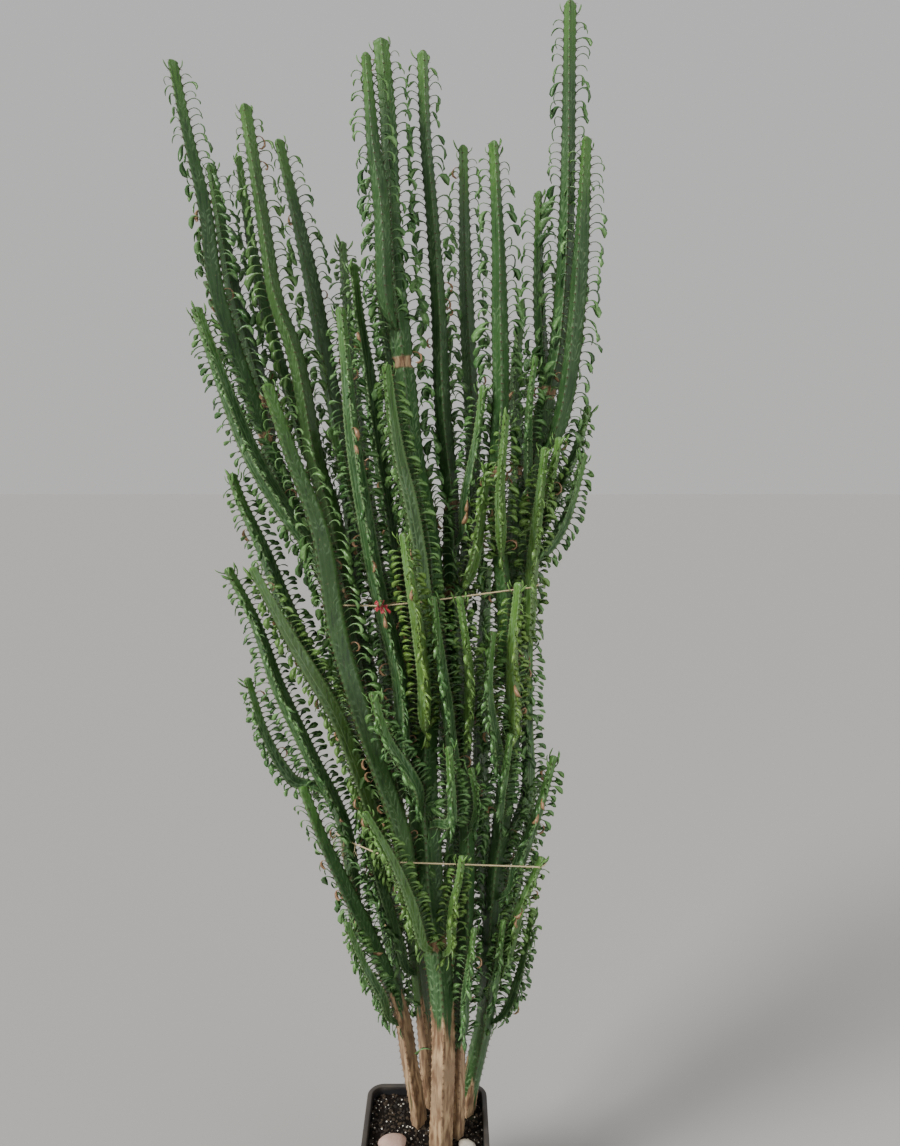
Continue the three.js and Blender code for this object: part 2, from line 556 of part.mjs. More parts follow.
// A steady sequence of draws from 0 to 1, the same on every run
function drawsFrom(seed) {
  let state = seed;
  return () => {
    state = (state * DRAW.factor) % DRAW.modulus;
    return state / DRAW.modulus;
  };
}

// Where a stem can sprout: at the teeth of its ribs, and all round its tip
function sproutPlaces(stem, draw) {
  const rings = stemRings(stem);
  const tipLevel = rings.length - 2;
  const places = [];
  for (let level = 1; level <= tipLevel; level++) {
    const ring = rings[level];
    for (let rib = 0; rib < stem.ribs; rib++) {
      if (!isTooth(level, rib, rings)) continue;
      const spoke = spokeOf(stem, ring, rib);
      const atTip = level === tipLevel;
      const share = atTip ? TIP_LEAF.share : LEAF.least + (1 - LEAF.least) * draw();
      places.push({
        level,
        rib,
        spoke,
        along: ring.along,
        foot: ring.centre.clone().addScaledVector(spoke, ring.crest),
        pitch: atTip ? TIP_LEAF.pitch : LEAF.pitch + LEAF.pitchSpread * draw(),
        roll: LEAF.roll * (draw() - 0.5),
        length: share * LEAF.length,
        width: share * LEAF.width,
        leafy: ring.centre.z >= stem.leafy && (atTip || draw() < LEAF.kept),
        spiny: ring.centre.z > BARK_TOP && level > 2 && draw() < SPINE.share,
      });
    }
  }
  return places;
}

// The frame of a sprout: X runs out of the crest and upwards by the pitch, and the roll turns it about X
function sproutFrame({ spoke, along, foot, roll }, pitch) {
  const outward = spoke.clone().multiplyScalar(Math.cos(pitch)).addScaledVector(along, Math.sin(pitch));
  const upward = along.clone().multiplyScalar(Math.cos(pitch)).addScaledVector(spoke, -Math.sin(pitch));
  const side = new THREE.Vector3().crossVectors(upward, outward);
  const frame = new THREE.Matrix4().makeBasis(outward, side, upward).setPosition(foot);
  return frame.multiply(new THREE.Matrix4().makeRotationX(roll));
}

function isClear(solid, others) {
  const box = solid.boundingBox();
  return others.every((other) => {
    const apart = [0, 1, 2].some((k) => box.min[k] > other.box.max[k] || box.max[k] < other.box.min[k]);
    return apart || solid.intersect(other.solid).volume() < 1e-6;
  });
}

function withBox(name, solid) {
  return { name, solid, box: solid.boundingBox() };
}

// Each leaf takes the first pitch that keeps it clear of everything else. Where none does, or below the leafy
// height, some teeth keep only their pair of spines
function chooseSprouts(stem, bodies, taken, draw) {
  const others = [...bodies, ...taken].filter((body) => body.name !== stem.name);
  const sprouts = [];
  for (const place of sproutPlaces(stem, draw)) {
    const { length, width } = place;
    const frames = place.leafy ? LEAF.lifts.map((lift) => sproutFrame(place, place.pitch + lift)) : [];
    const probe = bladeProbe(length + PROBE_MORE, width + PROBE_MORE, LEAF.thick + PROBE_MORE);
    const frame = frames.find((choice) => isClear(probe.transform(choice.toArray()), others));
    if (frame) {
      taken.push(withBox(stem.name, probe.transform(frame.toArray())));
      sprouts.push({ ...place, leaf: true, frame });
    } else if (place.spiny) {
      const flat = sproutFrame({ ...place, roll: 0 }, SPINE.pitch);
      const room = bladeProbe(SPINE.length + PROBE_MORE, SPINE.spread * 2 + PROBE_MORE, PROBE_MORE);
      if (isClear(room.transform(flat.toArray()), others)) sprouts.push({ ...place, leaf: false, frame: flat });
    }
  }
  return sprouts;
}

// The outline of a square with rounded corners at one height
function roundedSquare(side, corner, height) {
  const reach = side / 2 - corner;
  const ring = [];
  for (let quarter = 0; quarter < 4; quarter++) {
    const middle = Math.PI / 4 + (quarter * Math.PI) / 2;
    const x = Math.sign(Math.cos(middle)) * reach;
    const y = Math.sign(Math.sin(middle)) * reach;
    for (let k = 0; k <= CORNER_STEPS; k++) {
      const angle = (quarter * Math.PI) / 2 + (k * Math.PI) / 2 / CORNER_STEPS;
      ring.push(new THREE.Vector3(x + corner * Math.cos(angle), y + corner * Math.sin(angle), height));
    }
  }
  return ring;
}

// The pot's outer side at a height, without the lip
function potSide(height) {
  return THREE.MathUtils.lerp(POT.foot, POT.rim - POT.lip * 2, height / POT.height);
}

function potSolid() {
  const lipFoot = POT.height - POT.lipHeight;
  const { corner, wall, floor, height, rim } = POT;
  return toSolid(skinGeometry(loft([
    roundedSquare(POT.foot - 4, corner, 0),
    roundedSquare(potSide(2), corner, 2),
    roundedSquare(potSide(lipFoot), corner, lipFoot),
    roundedSquare(rim, corner + POT.lip, lipFoot + 3),
    roundedSquare(rim, corner + POT.lip, height - 1.5),
    roundedSquare(rim - 3, corner + POT.lip, height),
    roundedSquare(potSide(height) - 2 * wall, corner - wall, height),
    roundedSquare(potSide(floor) - 2 * wall, corner - wall, floor),
  ])));
}

function soilSolid(trunks) {
  const side = (height) => potSide(height) - 2 * POT.wall - 2 * SEAT_GAP;
  const corner = POT.corner - POT.wall;
  const foot = POT.floor + SEAT_GAP;
  const outlines = [foot, SOIL_TOP].map((height) => roundedSquare(side(height), corner, height));
  const body = toSolid(skinGeometry(loft(outlines)));
  const holes = trunks.map((trunk) => {
    const radius = (trunk.crest + HOLE_ROOM) / Math.cos(Math.PI / HOLE_SIDES);
    const hole = new THREE.CylinderGeometry(radius, radius, BURIED * 2 + 2 * SEAT_GAP, HOLE_SIDES);
    hole.rotateX(Math.PI / 2).translate(trunk.root[0], trunk.root[1], SOIL_TOP);
    return toSolid(hole);
  });
  return body.subtract(Manifold.union(holes));
}

// A stone that lies on the soil on its flattened underside
function stoneSolid({ at, size, turn }) {
  const stone = new THREE.IcosahedronGeometry(0.5, 1);
  const spots = stone.getAttribute("position");
  for (let i = 0; i < spots.count; i++) {
    const [x, y, z] = [spots.getX(i), spots.getY(i), spots.getZ(i)];
    const bump = 1 + 0.09 * Math.sin(5 * x + 2) * Math.cos(4 * y) + 0.06 * Math.sin(7 * y + 3 * z);
    spots.setXYZ(i, x * bump * size[0], y * bump * size[1], Math.max(z * bump, STONE_FLAT) * size[2]);
  }
  stone.rotateZ(THREE.MathUtils.degToRad(turn));
  stone.translate(at[0], at[1], SOIL_TOP + SEAT_GAP - STONE_FLAT * size[2]);
  return toSolid(stone);
}

// The points where a stem's crests cross the plane of a tie
function crestsAt(stem, tie) {
  const above = (point) => point.z - tie.height - tie.slope * point.x;
  const rings = stemRings(stem);
  const outlines = rings.map((ring, level) => section(ring, level, rings, stem));
  const points = [];
  for (let rib = 0; rib < stem.ribs; rib++) {
    const crest = outlines.map((outline) => outline[rib * 2]);
    const found = crest.findIndex((point, i) => i > 0 && above(crest[i - 1]) <= 0 && above(point) > 0);
    if (found < 0) continue;
    const [low, high] = [crest[found - 1], crest[found]];
    points.push(low.clone().lerp(high, -above(low) / (above(high) - above(low))));
  }
  return points;
}

// The convex outline round flat points, going anticlockwise
function hullAround(points) {
  const sorted = [...points].sort((a, b) => a.x - b.x || a.y - b.y);
  const half = (list) => {
    const chain = [];
    for (const point of list) {
      while (chain.length > 1 && turnOf(chain[chain.length - 2], chain[chain.length - 1], point) <= 0) chain.pop();
      chain.push(point);
    }
    return chain.slice(0, -1);
  };
  return [...half(sorted), ...half(sorted.reverse())];
}

function turnOf(a, b, c) {
  return (b.x - a.x) * (c.y - a.y) - (b.y - a.y) * (c.x - a.x);
}

// Twine pulled tight round the outermost crests of the tied stems
function twineLine(stems, tie) {
  const tied = stems.filter((stem) => !tie.loose.includes(stem.name));
  const hull = hullAround(tied.flatMap((stem) => crestsAt(stem, tie)));
  const stand = TWINE.radius + TWINE.gap;
  const line = [];
  hull.forEach((point, i) => {
    const before = hull[(i + hull.length - 1) % hull.length];
    const after = hull[(i + 1) % hull.length];
    const from = Math.atan2(before.x - point.x, point.y - before.y);
    let to = Math.atan2(point.x - after.x, after.y - point.y);
    if (to < from) to += 2 * Math.PI;
    const steps = Math.ceil((to - from) / TWINE.bend);
    for (let k = 0; k < steps; k++) {
      const angle = from + ((to - from) * (k + 0.5)) / steps;
      const x = point.x + stand * Math.cos(angle);
      const y = point.y + stand * Math.sin(angle);
      line.push(new THREE.Vector3(x, y, tie.height + tie.slope * x));
    }
  });
  return line;
}

// The spot of a line nearest to a place seen from above, and the way out of the bundle there
function spotNear(line, [x, y]) {
  const distance = (point) => Math.hypot(point.x - x, point.y - y);
  const index = line.reduce((best, point, i) => (distance(point) < distance(line[best]) ? i : best), 0);
  const before = line[(index + line.length - 1) % line.length];
  const after = line[(index + 1) % line.length];
  const out = new THREE.Vector3().crossVectors(after.clone().sub(before), new THREE.Vector3(0, 0, 1)).normalize();
  return { spot: line[index].clone(), out };
}

function rodBetween(from, to, radius, sides) {
  const span = to.clone().sub(from);
  const rod = new THREE.CylinderGeometry(radius, radius, span.length(), sides);
  const upright = new THREE.Vector3(0, 1, 0);
  rod.applyQuaternion(new THREE.Quaternion().setFromUnitVectors(upright, span.clone().normalize()));
  const middle = from.clone().add(to).multiplyScalar(0.5);
  return toSolid(rod.translate(middle.x, middle.y, middle.z));
}

function twineSolid(line, tie) {
  const count = line.length;
  const points = [];
  const index = [];
  line.forEach((point, i) => {
    const along = line[(i + 1) % count].clone().sub(line[(i + count - 1) % count]).normalize();
    const out = new THREE.Vector3().crossVectors(along, new THREE.Vector3(0, 0, 1)).normalize();
    const rise = new THREE.Vector3().crossVectors(out, along);
    for (let k = 0; k < TWINE.sides; k++) {
      const angle = (k * 2 * Math.PI) / TWINE.sides;
      const spot = point.clone().addScaledVector(out, TWINE.radius * Math.cos(angle));
      points.push(spot.addScaledVector(rise, TWINE.radius * Math.sin(angle)));
      const next = (k + 1) % TWINE.sides;
      const ahead = ((i + 1) % count) * TWINE.sides;
      const here = i * TWINE.sides;
      index.push(here + k, ahead + k, ahead + next, here + k, ahead + next, here + next);
    }
  });
  const loop = toSolid(skinGeometry({ points, index }));
  const { spot, out } = spotNear(line, tie.knotNear);
  const knot = spot.addScaledVector(out, TWINE.knot - TWINE.radius);
  const ball = new THREE.IcosahedronGeometry(TWINE.knot, 1).translate(knot.x, knot.y, knot.z);
  const tails = tie.tails.map((fall) => {
    const hang = new THREE.Vector3(0, 0, -TWINE.tail).addScaledVector(out, fall);
    return rodBetween(knot, knot.clone().add(hang), TWINE.radius * TWINE.tailShare, TWINE.tailSides);
  });
  return Manifold.union([loop, toSolid(ball), ...tails]);
}

// A ribbon rosette in front of the twine: loops of ribbon round a small heart
function rosetteSolid(line) {
  const { spot, out } = spotNear(line, ROSETTE.near);
  const centre = spot.addScaledVector(out, TWINE.radius + ROSETTE.gap + ROSETTE.heart[0]);
  const side = new THREE.Vector3(0, 0, 1).cross(out).normalize();
  const frame = new THREE.Matrix4().makeBasis(out, side, new THREE.Vector3(0, 0, 1)).setPosition(centre);
  const heart = new THREE.SphereGeometry(1, 6, 4).scale(...ROSETTE.heart).applyMatrix4(frame);
  const petals = [];
  for (let i = 0; i < ROSETTE.petals; i++) {
    const petal = new THREE.SphereGeometry(1, 6, 4).scale(...ROSETTE.petal);
    petal.rotateY(ROSETTE.cup).translate(0, 0, ROSETTE.ring).rotateX((i * 2 * Math.PI) / ROSETTE.petals);
    petals.push(toSolid(petal.applyMatrix4(frame)));
  }
  return Manifold.union([toSolid(heart), ...petals]);
}

// Surfaces, one for each kind of piece
const SURFACES = {
  pot: new THREE.MeshStandardMaterial({ color: 0x101114, roughness: 0.45, metalness: 0 }),
  soil: new THREE.MeshStandardMaterial({ color: 0x1d1712, roughness: 1, metalness: 0 }),
  stone: new THREE.MeshStandardMaterial({ color: 0xcdb4a8, roughness: 0.6, metalness: 0 }),
  twine: new THREE.MeshStandardMaterial({ color: 0xbfae84, roughness: 0.95, metalness: 0 }),
  ribbon: new THREE.MeshStandardMaterial({ color: 0xa82a34, roughness: 0.5, metalness: 0 }),
  trunk: new THREE.MeshStandardMaterial({ color: 0x3f5c35, roughness: 0.6, metalness: 0 }),
  branch: new THREE.MeshStandardMaterial({ color: 0x3f7a32, roughness: 0.5, metalness: 0 }),
};

const plant = new THREE.Group();

function addPiece(name, solid, surface) {
  const mesh = new THREE.Mesh(toGeometry(solid), SURFACES[surface]);
  mesh.name = name;
  plant.add(mesh);
}

const stems = drawLines();
settle(stems);
const trunks = stems.filter((stem) => !stem.parent);

addPiece("pot", potSolid(), "pot");
addPiece("soil", soilSolid(trunks), "soil");
for (const stone of STONES) addPiece(stone.name, stoneSolid(stone), "stone");

const bodies = [];
for (const stem of stems) bodies.push(withBox(stem.name, seatedStem(stem, [])));

const fixtures = [];
for (const tie of TIES) {
  const line = twineLine(stems, tie);
  fixtures.push(withBox(tie.name, twineSolid(line, tie)));
  addPiece(tie.name, fixtures[fixtures.length - 1].solid, "twine");
  if (tie.rosette) {
    fixtures.push(withBox(tie.rosette, rosetteSolid(line)));
    addPiece(tie.rosette, fixtures[fixtures.length - 1].solid, "ribbon");
  }
}

const draw = drawsFrom(DRAW.seed);
const blades = [];
const grown = new Map(stems.map((stem) => [stem.name, []]));
for (const stem of stems) {
  const sprouts = chooseSprouts(stem, [...bodies, ...fixtures], blades, draw);
  grown.get(stem.fused ? stem.parent.name : stem.name).push(seatedStem(stem, sprouts));
}
for (const stem of stems) {
  if (!stem.fused) addPiece(stem.name, Manifold.union(grown.get(stem.name)), stem.parent ? "branch" : "trunk");
}

export default plant;
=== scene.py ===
# %% [markdown]
# # A potted African milk tree, taller than a person
# The plant is a bundle of ribbed green stems tied with twine in a square black nursery pot. The packed
# frame gives every piece its place, and this lesson gives each one its skin, leaves and finish. Lengths
# are in millimetres until a mesh is made, which turns them into metres.

# %% Load the frame
import json
import math
import random

import bmesh
import bpy
import numpy as np
from mathutils import Matrix, Vector, noise

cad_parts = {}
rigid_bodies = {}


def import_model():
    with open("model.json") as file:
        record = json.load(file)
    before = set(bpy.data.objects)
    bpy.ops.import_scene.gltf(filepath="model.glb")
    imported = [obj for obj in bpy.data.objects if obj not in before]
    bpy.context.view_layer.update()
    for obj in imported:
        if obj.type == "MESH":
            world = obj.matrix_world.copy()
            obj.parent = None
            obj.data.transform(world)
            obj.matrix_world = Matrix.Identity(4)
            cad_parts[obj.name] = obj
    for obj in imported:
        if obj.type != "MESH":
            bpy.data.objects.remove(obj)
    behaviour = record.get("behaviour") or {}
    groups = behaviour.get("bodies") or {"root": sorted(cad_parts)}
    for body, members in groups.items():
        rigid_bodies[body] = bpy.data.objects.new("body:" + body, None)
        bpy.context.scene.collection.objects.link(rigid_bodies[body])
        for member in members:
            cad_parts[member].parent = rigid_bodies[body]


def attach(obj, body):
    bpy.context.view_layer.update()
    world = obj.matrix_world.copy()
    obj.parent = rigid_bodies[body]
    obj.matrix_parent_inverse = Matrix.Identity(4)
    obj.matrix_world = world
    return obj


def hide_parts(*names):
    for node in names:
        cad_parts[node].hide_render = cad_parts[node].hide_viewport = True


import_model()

MM = 0.001
FULL_TURN = 2 * math.pi
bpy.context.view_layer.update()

# %% [markdown]
# The camera comes first, because the stems are placed by what it saw.
# The photograph was taken from standing eye height and a little downwards. A point is named by its
# column and row in a picture of 900 by 1146, and by its depth behind the middle of the pot.

# %% The camera
PICTURE = {"column": 450, "row": 573, "focal": 882, "height": 1146}
PITCH = math.radians(8)
EYE = np.array([48.0, -1585.0, 1600.0])
SENSOR = 36


def add_object(name, data):
    obj = bpy.data.objects.new(name, data)
    bpy.context.scene.collection.objects.link(obj)
    return obj


camera = add_object("camera", bpy.data.cameras.new("camera"))
camera.data.sensor_width = SENSOR
camera.data.lens = SENSOR * PICTURE["focal"] / PICTURE["height"]
camera.location = EYE * MM
camera.rotation_euler = (math.radians(90) - PITCH, 0, 0)
bpy.context.scene.camera = camera
print("camera lens:", round(camera.data.lens, 2), "mm")


def from_photo(column, row, depth):
    across = (column - PICTURE["column"]) / PICTURE["focal"]
    up = (PICTURE["row"] - row) / PICTURE["focal"]
    ray = np.array([across, math.cos(PITCH) + up * math.sin(PITCH), up * math.cos(PITCH) - math.sin(PITCH)])
    return EYE + ray * (depth - EYE[1]) / ray[1]


# %% [markdown]
# ## Where the stems run
# Every stem grows along one smooth line, given by a few points of column, row and depth. A trunk starts
# at its root in the soil, and a branch starts on its parent at a height. These are the same lines as
# the frame's solids follow, so the finer stems stand exactly in their places. The side shoots, which
# the frame's solids have fused to their parents, come last.

# %% The stems
def stem_line(name, girth, via, **more):
    return {"name": name, "girth": girth, "via": via, **more}


STEMS = [
    stem_line("trunk_left", 34, [(409, 1062, 30), (402, 1020, 20), (385, 975, 5), (362, 925, -12),
              (342, 884, -25), (323, 843, -30), (303, 791, -35)], root=(-17, 34)),
    stem_line("trunk_back_left", 38, [(427, 1040, 84), (420, 980, 80), (410, 900, 75), (398, 820, 70),
              (385, 760, 66), (372, 700, 62), (358, 640, 60), (345, 580, 58), (330, 510, 56),
              (317, 468, 56), (295, 353, 56), (276, 300, 56), (262, 215, 58), (245, 109, 60)],
              root=(6, 88)),
    stem_line("trunk_front", 40, [(443, 1080, -28), (443, 1020, -24), (438, 960, -18), (428, 900, -14),
              (425, 852, -8), (424, 780, 0), (428, 700, 6), (431, 640, 8), (429, 550, 8), (411, 450, 8),
              (404, 375, 8), (393, 252, 8), (388, 116, 6), (381, 44, 4)],
              root=(30, -30), ribs=4, facing=94, swell={"height": 810, "reach": 170, "share": 0.45}),
    stem_line("trunk_middle", 34, [(458, 1060, 4), (460, 1010, 8), (464, 960, 10), (467, 900, 12),
              (467, 830, 14), (463, 760, 18), (459, 700, 22), (455, 640, 26), (452, 580, 30),
              (452, 509, 32), (445, 437, 34), (442, 390, 34), (439, 312, 34), (433, 219, 32),
              (426, 133, 28), (423, 56, 24)], root=(62, 6)),
    stem_line("trunk_right", 38, [(476, 1062, 62), (485, 1020, 58), (489, 960, 50), (494, 890, 42),
              (501, 830, 36), (509, 760, 34), (515, 690, 34), (518, 620, 34), (519, 547, 34),
              (533, 469, 34), (545, 406, 34), (557, 359, 32), (563, 300, 30), (567, 219, 26), (570, 6, 20)],
              root=(84, 66)),
    stem_line("low_left_1", 25, [(381, 997, 0), (364, 967, -14), (347, 926, -22)], parent="trunk_left",
              at=468),
    stem_line("low_left_2", 30, [(345, 830, 20), (312, 760, 10), (288, 709, 0), (278, 687, 0),
              (254, 620, -5), (229, 572, -10)], parent="trunk_left", at=640),
    stem_line("low_left_3", 27, [(299, 786, 25), (280, 766, 22), (264, 735, 20), (248, 682, 18)],
              parent="low_left_2", at=935),
    stem_line("low_left_4", 32, [(380, 840, 20), (358, 775, -10), (334, 714, -30), (315, 682, -40),
              (283, 628, -50), (253, 572, -58)], parent="trunk_back_left", at=745, facing=-112),
    stem_line("low_left_5", 33, [(375, 800, 50), (350, 745, 44), (330, 705, 38), (307, 655, 34),
              (283, 602, 32), (264, 553, 30), (240, 500, 28), (232, 478, 28)], parent="trunk_back_left",
              at=850),
    stem_line("top_left_1", 34, [(345, 625, 105), (318, 570, 95), (285, 490, 95), (250, 400, 90),
              (214, 289, 80), (203, 210, 75), (185, 130, 70), (172, 65, 66)], parent="trunk_back_left",
              at=1185),
    stem_line("top_left_2", 32, [(264, 400, 126), (247, 340, 130), (235, 300, 122), (222, 232, 116),
              (211, 168, 110)], parent="top_left_1", at=1530),
    stem_line("top_left_3", 26, [(294, 410, 110), (272, 340, 130), (254, 265, 132), (238, 160, 130)],
              parent="trunk_back_left", at=1560),
    stem_line("top_left_4", 33, [(354, 560, 112), (348, 500, 116), (340, 440, 118), (330, 387, 120),
              (309, 273, 120), (279, 144, 118)], parent="trunk_back_left", at=1290),
    stem_line("top_left_5", 36, [(348, 640, 20), (320, 560, 20), (286, 512, 10), (255, 462, 2),
              (233, 412, -4), (197, 312, -12)], parent="trunk_back_left", at=1105),
    stem_line("top_left_6", 40, [(398, 830, -40), (374, 760, -52), (350, 687, -60), (334, 629, -62),
              (317, 531, -62), (292, 462, -60), (267, 389, -58)], parent="trunk_front", at=760),
    stem_line("top_middle_1", 30, [(386, 300, -34), (381, 202, -36), (374, 151, -34), (366, 58, -30)],
              parent="trunk_front", at=1800),
    stem_line("top_middle_2", 30, [(386, 710, 125), (380, 600, 160), (368, 500, 168), (354, 400, 168),
              (347, 310, 165), (342, 246, 162)], parent="trunk_back_left", at=985),
    stem_line("top_middle_3", 30, [(404, 620, 50), (390, 530, 60), (378, 450, 60), (367, 370, 58),
              (359, 320, 56), (353, 268, 54)], parent="trunk_front", at=1135),
    stem_line("top_middle_4", 32, [(400, 680, -30), (378, 590, -40), (364, 510, -42), (352, 430, -42),
              (347, 370, -40), (341, 312, -38)], parent="trunk_front", at=935),
    stem_line("top_middle_5", 27, [(408, 490, 50), (397, 420, 62), (386, 344, 64), (380, 300, 62),
              (377, 266, 60)], parent="trunk_front", at=1440),
    stem_line("top_middle_6", 30, [(462, 590, 90), (470, 530, 100), (473, 450, 100), (470, 375, 98),
              (467, 312, 96), (465, 254, 94), (463, 150, 90)], parent="trunk_middle", at=1250),
    stem_line("top_middle_7", 32, [(506, 610, 0), (499, 530, -10), (498, 449, -12), (501, 406, -12),
              (500, 312, -10), (499, 250, -8), (494, 146, -6)], parent="trunk_right", at=1150),
    stem_line("top_right_1", 32, [(560, 420, 0), (571, 359, -6), (578, 281, -6), (582, 220, -6),
              (586, 142, -8)], parent="trunk_right", at=1585),
    stem_line("top_right_2", 25, [(545, 375, 52), (541, 328, 56), (539, 270, 56), (539, 196, 54)],
              parent="trunk_right", at=1660),
    stem_line("top_right_3", 21, [(528, 450, 0), (529, 406, -6), (535, 361, -8)], parent="trunk_right",
              at=1515),
    stem_line("top_right_4", 30, [(512, 560, 80), (515, 500, 96), (518, 450, 98), (514, 390, 98),
              (519, 332, 96)], parent="trunk_right", at=1285),
    stem_line("mid_right_1", 27, [(545, 520, 60), (562, 484, 62), (577, 450, 62), (588, 410, 60)],
              parent="trunk_right", at=1405),
    stem_line("mid_right_2", 27, [(543, 553, 20), (560, 530, 10), (572, 499, 6), (583, 458, 2)],
              parent="trunk_right", at=1375),
    stem_line("mid_right_3", 25, [(547, 492, -20), (554, 466, -30), (559, 442, -34)], parent="trunk_right",
              at=1462),
    stem_line("mid_right_4", 27, [(531, 588, 0), (538, 515, -40), (545, 452, -50)], parent="trunk_right",
              at=1235),
    stem_line("mid_middle_1", 32, [(424, 610, -36), (411, 519, -48), (396, 450, -50), (386, 369, -50)],
              parent="trunk_front", at=1195),
    stem_line("mid_middle_2", 28, [(424, 676, -56), (416, 615, -96), (410, 580, -104), (404, 538, -108)],
              parent="trunk_front", at=1070),
    stem_line("mid_middle_3", 32, [(402, 655, 60), (384, 592, 70), (369, 550, 72), (351, 495, 72),
              (331, 432, 70)], parent="trunk_front", at=1005),
    stem_line("mid_middle_4", 25, [(446, 700, -44), (440, 655, -76), (433, 601, -90)],
              parent="trunk_middle", at=985),
    stem_line("mid_middle_5", 24, [(470, 695, -34), (467, 650, -76), (460, 601, -94)],
              parent="trunk_middle", at=1040),
    stem_line("mid_middle_6", 25, [(474, 560, -20), (482, 510, -36), (487, 468, -40)],
              parent="trunk_middle", at=1325),
    stem_line("mid_middle_7", 24, [(466, 500, 0), (477, 440, -14), (483, 390, -18)], parent="trunk_middle",
              at=1420),
    stem_line("mid_middle_8", 24, [(501, 530, -50), (500, 490, -62), (506, 419, -64)],
              parent="top_middle_7", at=1400),
    stem_line("mid_right_5", 26, [(496, 745, -20), (488, 695, -48), (492, 636, -60)], parent="trunk_right",
              at=965),
    stem_line("mid_right_6", 30, [(514, 715, -20), (513, 650, -44), (519, 587, -52)], parent="trunk_right",
              at=1040),
    stem_line("mid_right_7", 28, [(526, 800, 70), (527, 720, 62), (529, 643, 58)], parent="trunk_right",
              at=845),
    stem_line("low_middle_1", 28, [(415, 786, -66), (403, 766, -90), (387, 741, -104), (373, 697, -110)],
              parent="trunk_front", at=925),
    stem_line("low_middle_2", 25, [(451, 822, -72), (451, 786, -84), (449, 751, -88)], parent="trunk_front",
              at=890),
    stem_line("low_middle_3", 26, [(408, 900, -70), (390, 858, -92), (366, 816, -100)],
              parent="trunk_front", at=650),
    stem_line("low_middle_4", 22, [(477, 816, -30), (476, 795, -42), (472, 772, -48)],
              parent="trunk_middle", at=880),
    stem_line("low_right_1", 27, [(516, 872, 20), (530, 835, 10), (542, 800, 4), (553, 760, 0)],
              parent="trunk_right", at=720),
    stem_line("low_right_2", 28, [(508, 950, 20), (518, 915, 6), (529, 888, 0), (541, 861, -4)],
              parent="trunk_right", at=560),
    stem_line("low_right_3", 24, [(503, 1020, 62), (515, 992, 60), (524, 960, 58), (532, 918, 56)],
              parent="trunk_right", at=440),
    stem_line("low_left_6", 28, [(404, 965, 56), (386, 905, 36), (370, 850, 26), (357, 800, 20)],
              parent="trunk_back_left", at=540),
    stem_line("low_middle_5", 25, [(452, 912, -46), (458, 886, -58), (462, 860, -62)], parent="trunk_front",
              at=640),
    stem_line("low_right_5", 27, [(506, 930, 92), (516, 885, 104), (526, 840, 106), (533, 792, 104)],
              parent="trunk_right", at=590),
    stem_line("low_right_4", 25, [(499, 806, -10), (505, 772, -26), (510, 738, -34)], parent="trunk_right",
              at=890),
    stem_line("shoot_back_left", 32, [(400, 930, 128), (384, 870, 138), (366, 800, 138), (350, 735, 130),
              (338, 680, 122), (330, 630, 116)], parent="trunk_back_left", fused=True, at=610),
    stem_line("shoot_back_middle", 34, [(462, 900, 80), (454, 840, 112), (447, 770, 130), (443, 700, 136),
              (441, 630, 136), (440, 570, 134)], parent="trunk_middle", fused=True, at=690),
    stem_line("shoot_back_right", 34, [(488, 905, 104), (483, 840, 128), (481, 760, 138), (482, 680, 140),
              (485, 610, 140), (487, 570, 138)], parent="trunk_right", fused=True, at=640),
    stem_line("shoot_low_middle", 26, [(456, 960, 60), (450, 915, 76), (448, 870, 84), (451, 830, 86)],
              parent="trunk_middle", fused=True, at=520),
    stem_line("shoot_low_right", 26, [(496, 960, 110), (500, 915, 128), (505, 870, 134), (510, 828, 134)],
              parent="trunk_right", fused=True, at=530),
    stem_line("shoot_low_left", 26, [(404, 1010, 104), (392, 955, 118), (380, 905, 122), (370, 862, 120)],
              parent="trunk_back_left", fused=True, at=455),
    stem_line("shoot_front_middle", 22, [(465, 1000, -34), (469, 968, -50), (474, 932, -56)],
              parent="trunk_middle", fused=True, at=455),
    stem_line("shoot_front_right", 22, [(494, 990, 8), (499, 958, -8), (503, 924, -14)],
              parent="trunk_right", fused=True, at=490),
]
SOIL_TOP = 244
BURIED = 75
ROOT_RISE = 15
CREST_PER_GIRTH = 0.585
FACING = {"middle": -93, "swing": 13, "step": 2.4}
KNOT_STEP = 45
ELBOW = {"out": 10, "rise": 24, "free": 130}
print("stems:", len(STEMS))

# %% [markdown]
# A line through the points is a centripetal Catmull-Rom curve, which never loops between two close
# points. It is then cut into steps of one length, so that teeth and leaves can be counted along it.

# %% A smooth line in even steps
PER_SPAN = 12


def curve_spot(points, t):
    last = len(points) - 1
    span = min(int(t * last), last - 1)
    share = t * last - span
    p1, p2 = points[span], points[span + 1]
    p0 = points[span - 1] if span > 0 else 2 * points[0] - points[1]
    p3 = points[span + 2] if span + 2 <= last else 2 * points[last] - points[last - 1]
    d0, d1, d2 = (max(np.linalg.norm(b - a), 1e-6) ** 0.5 for a, b in ((p0, p1), (p1, p2), (p2, p3)))
    leave = ((p1 - p0) / d0 - (p2 - p0) / (d0 + d1) + (p2 - p1) / d1) * d1
    arrive = ((p2 - p1) / d1 - (p3 - p1) / (d1 + d2) + (p3 - p2) / d2) * d1
    square, cube = share * share, share ** 3
    return (p1 + leave * share + (-3 * p1 + 3 * p2 - 2 * leave - arrive) * square
            + (2 * p1 - 2 * p2 + leave + arrive) * cube)


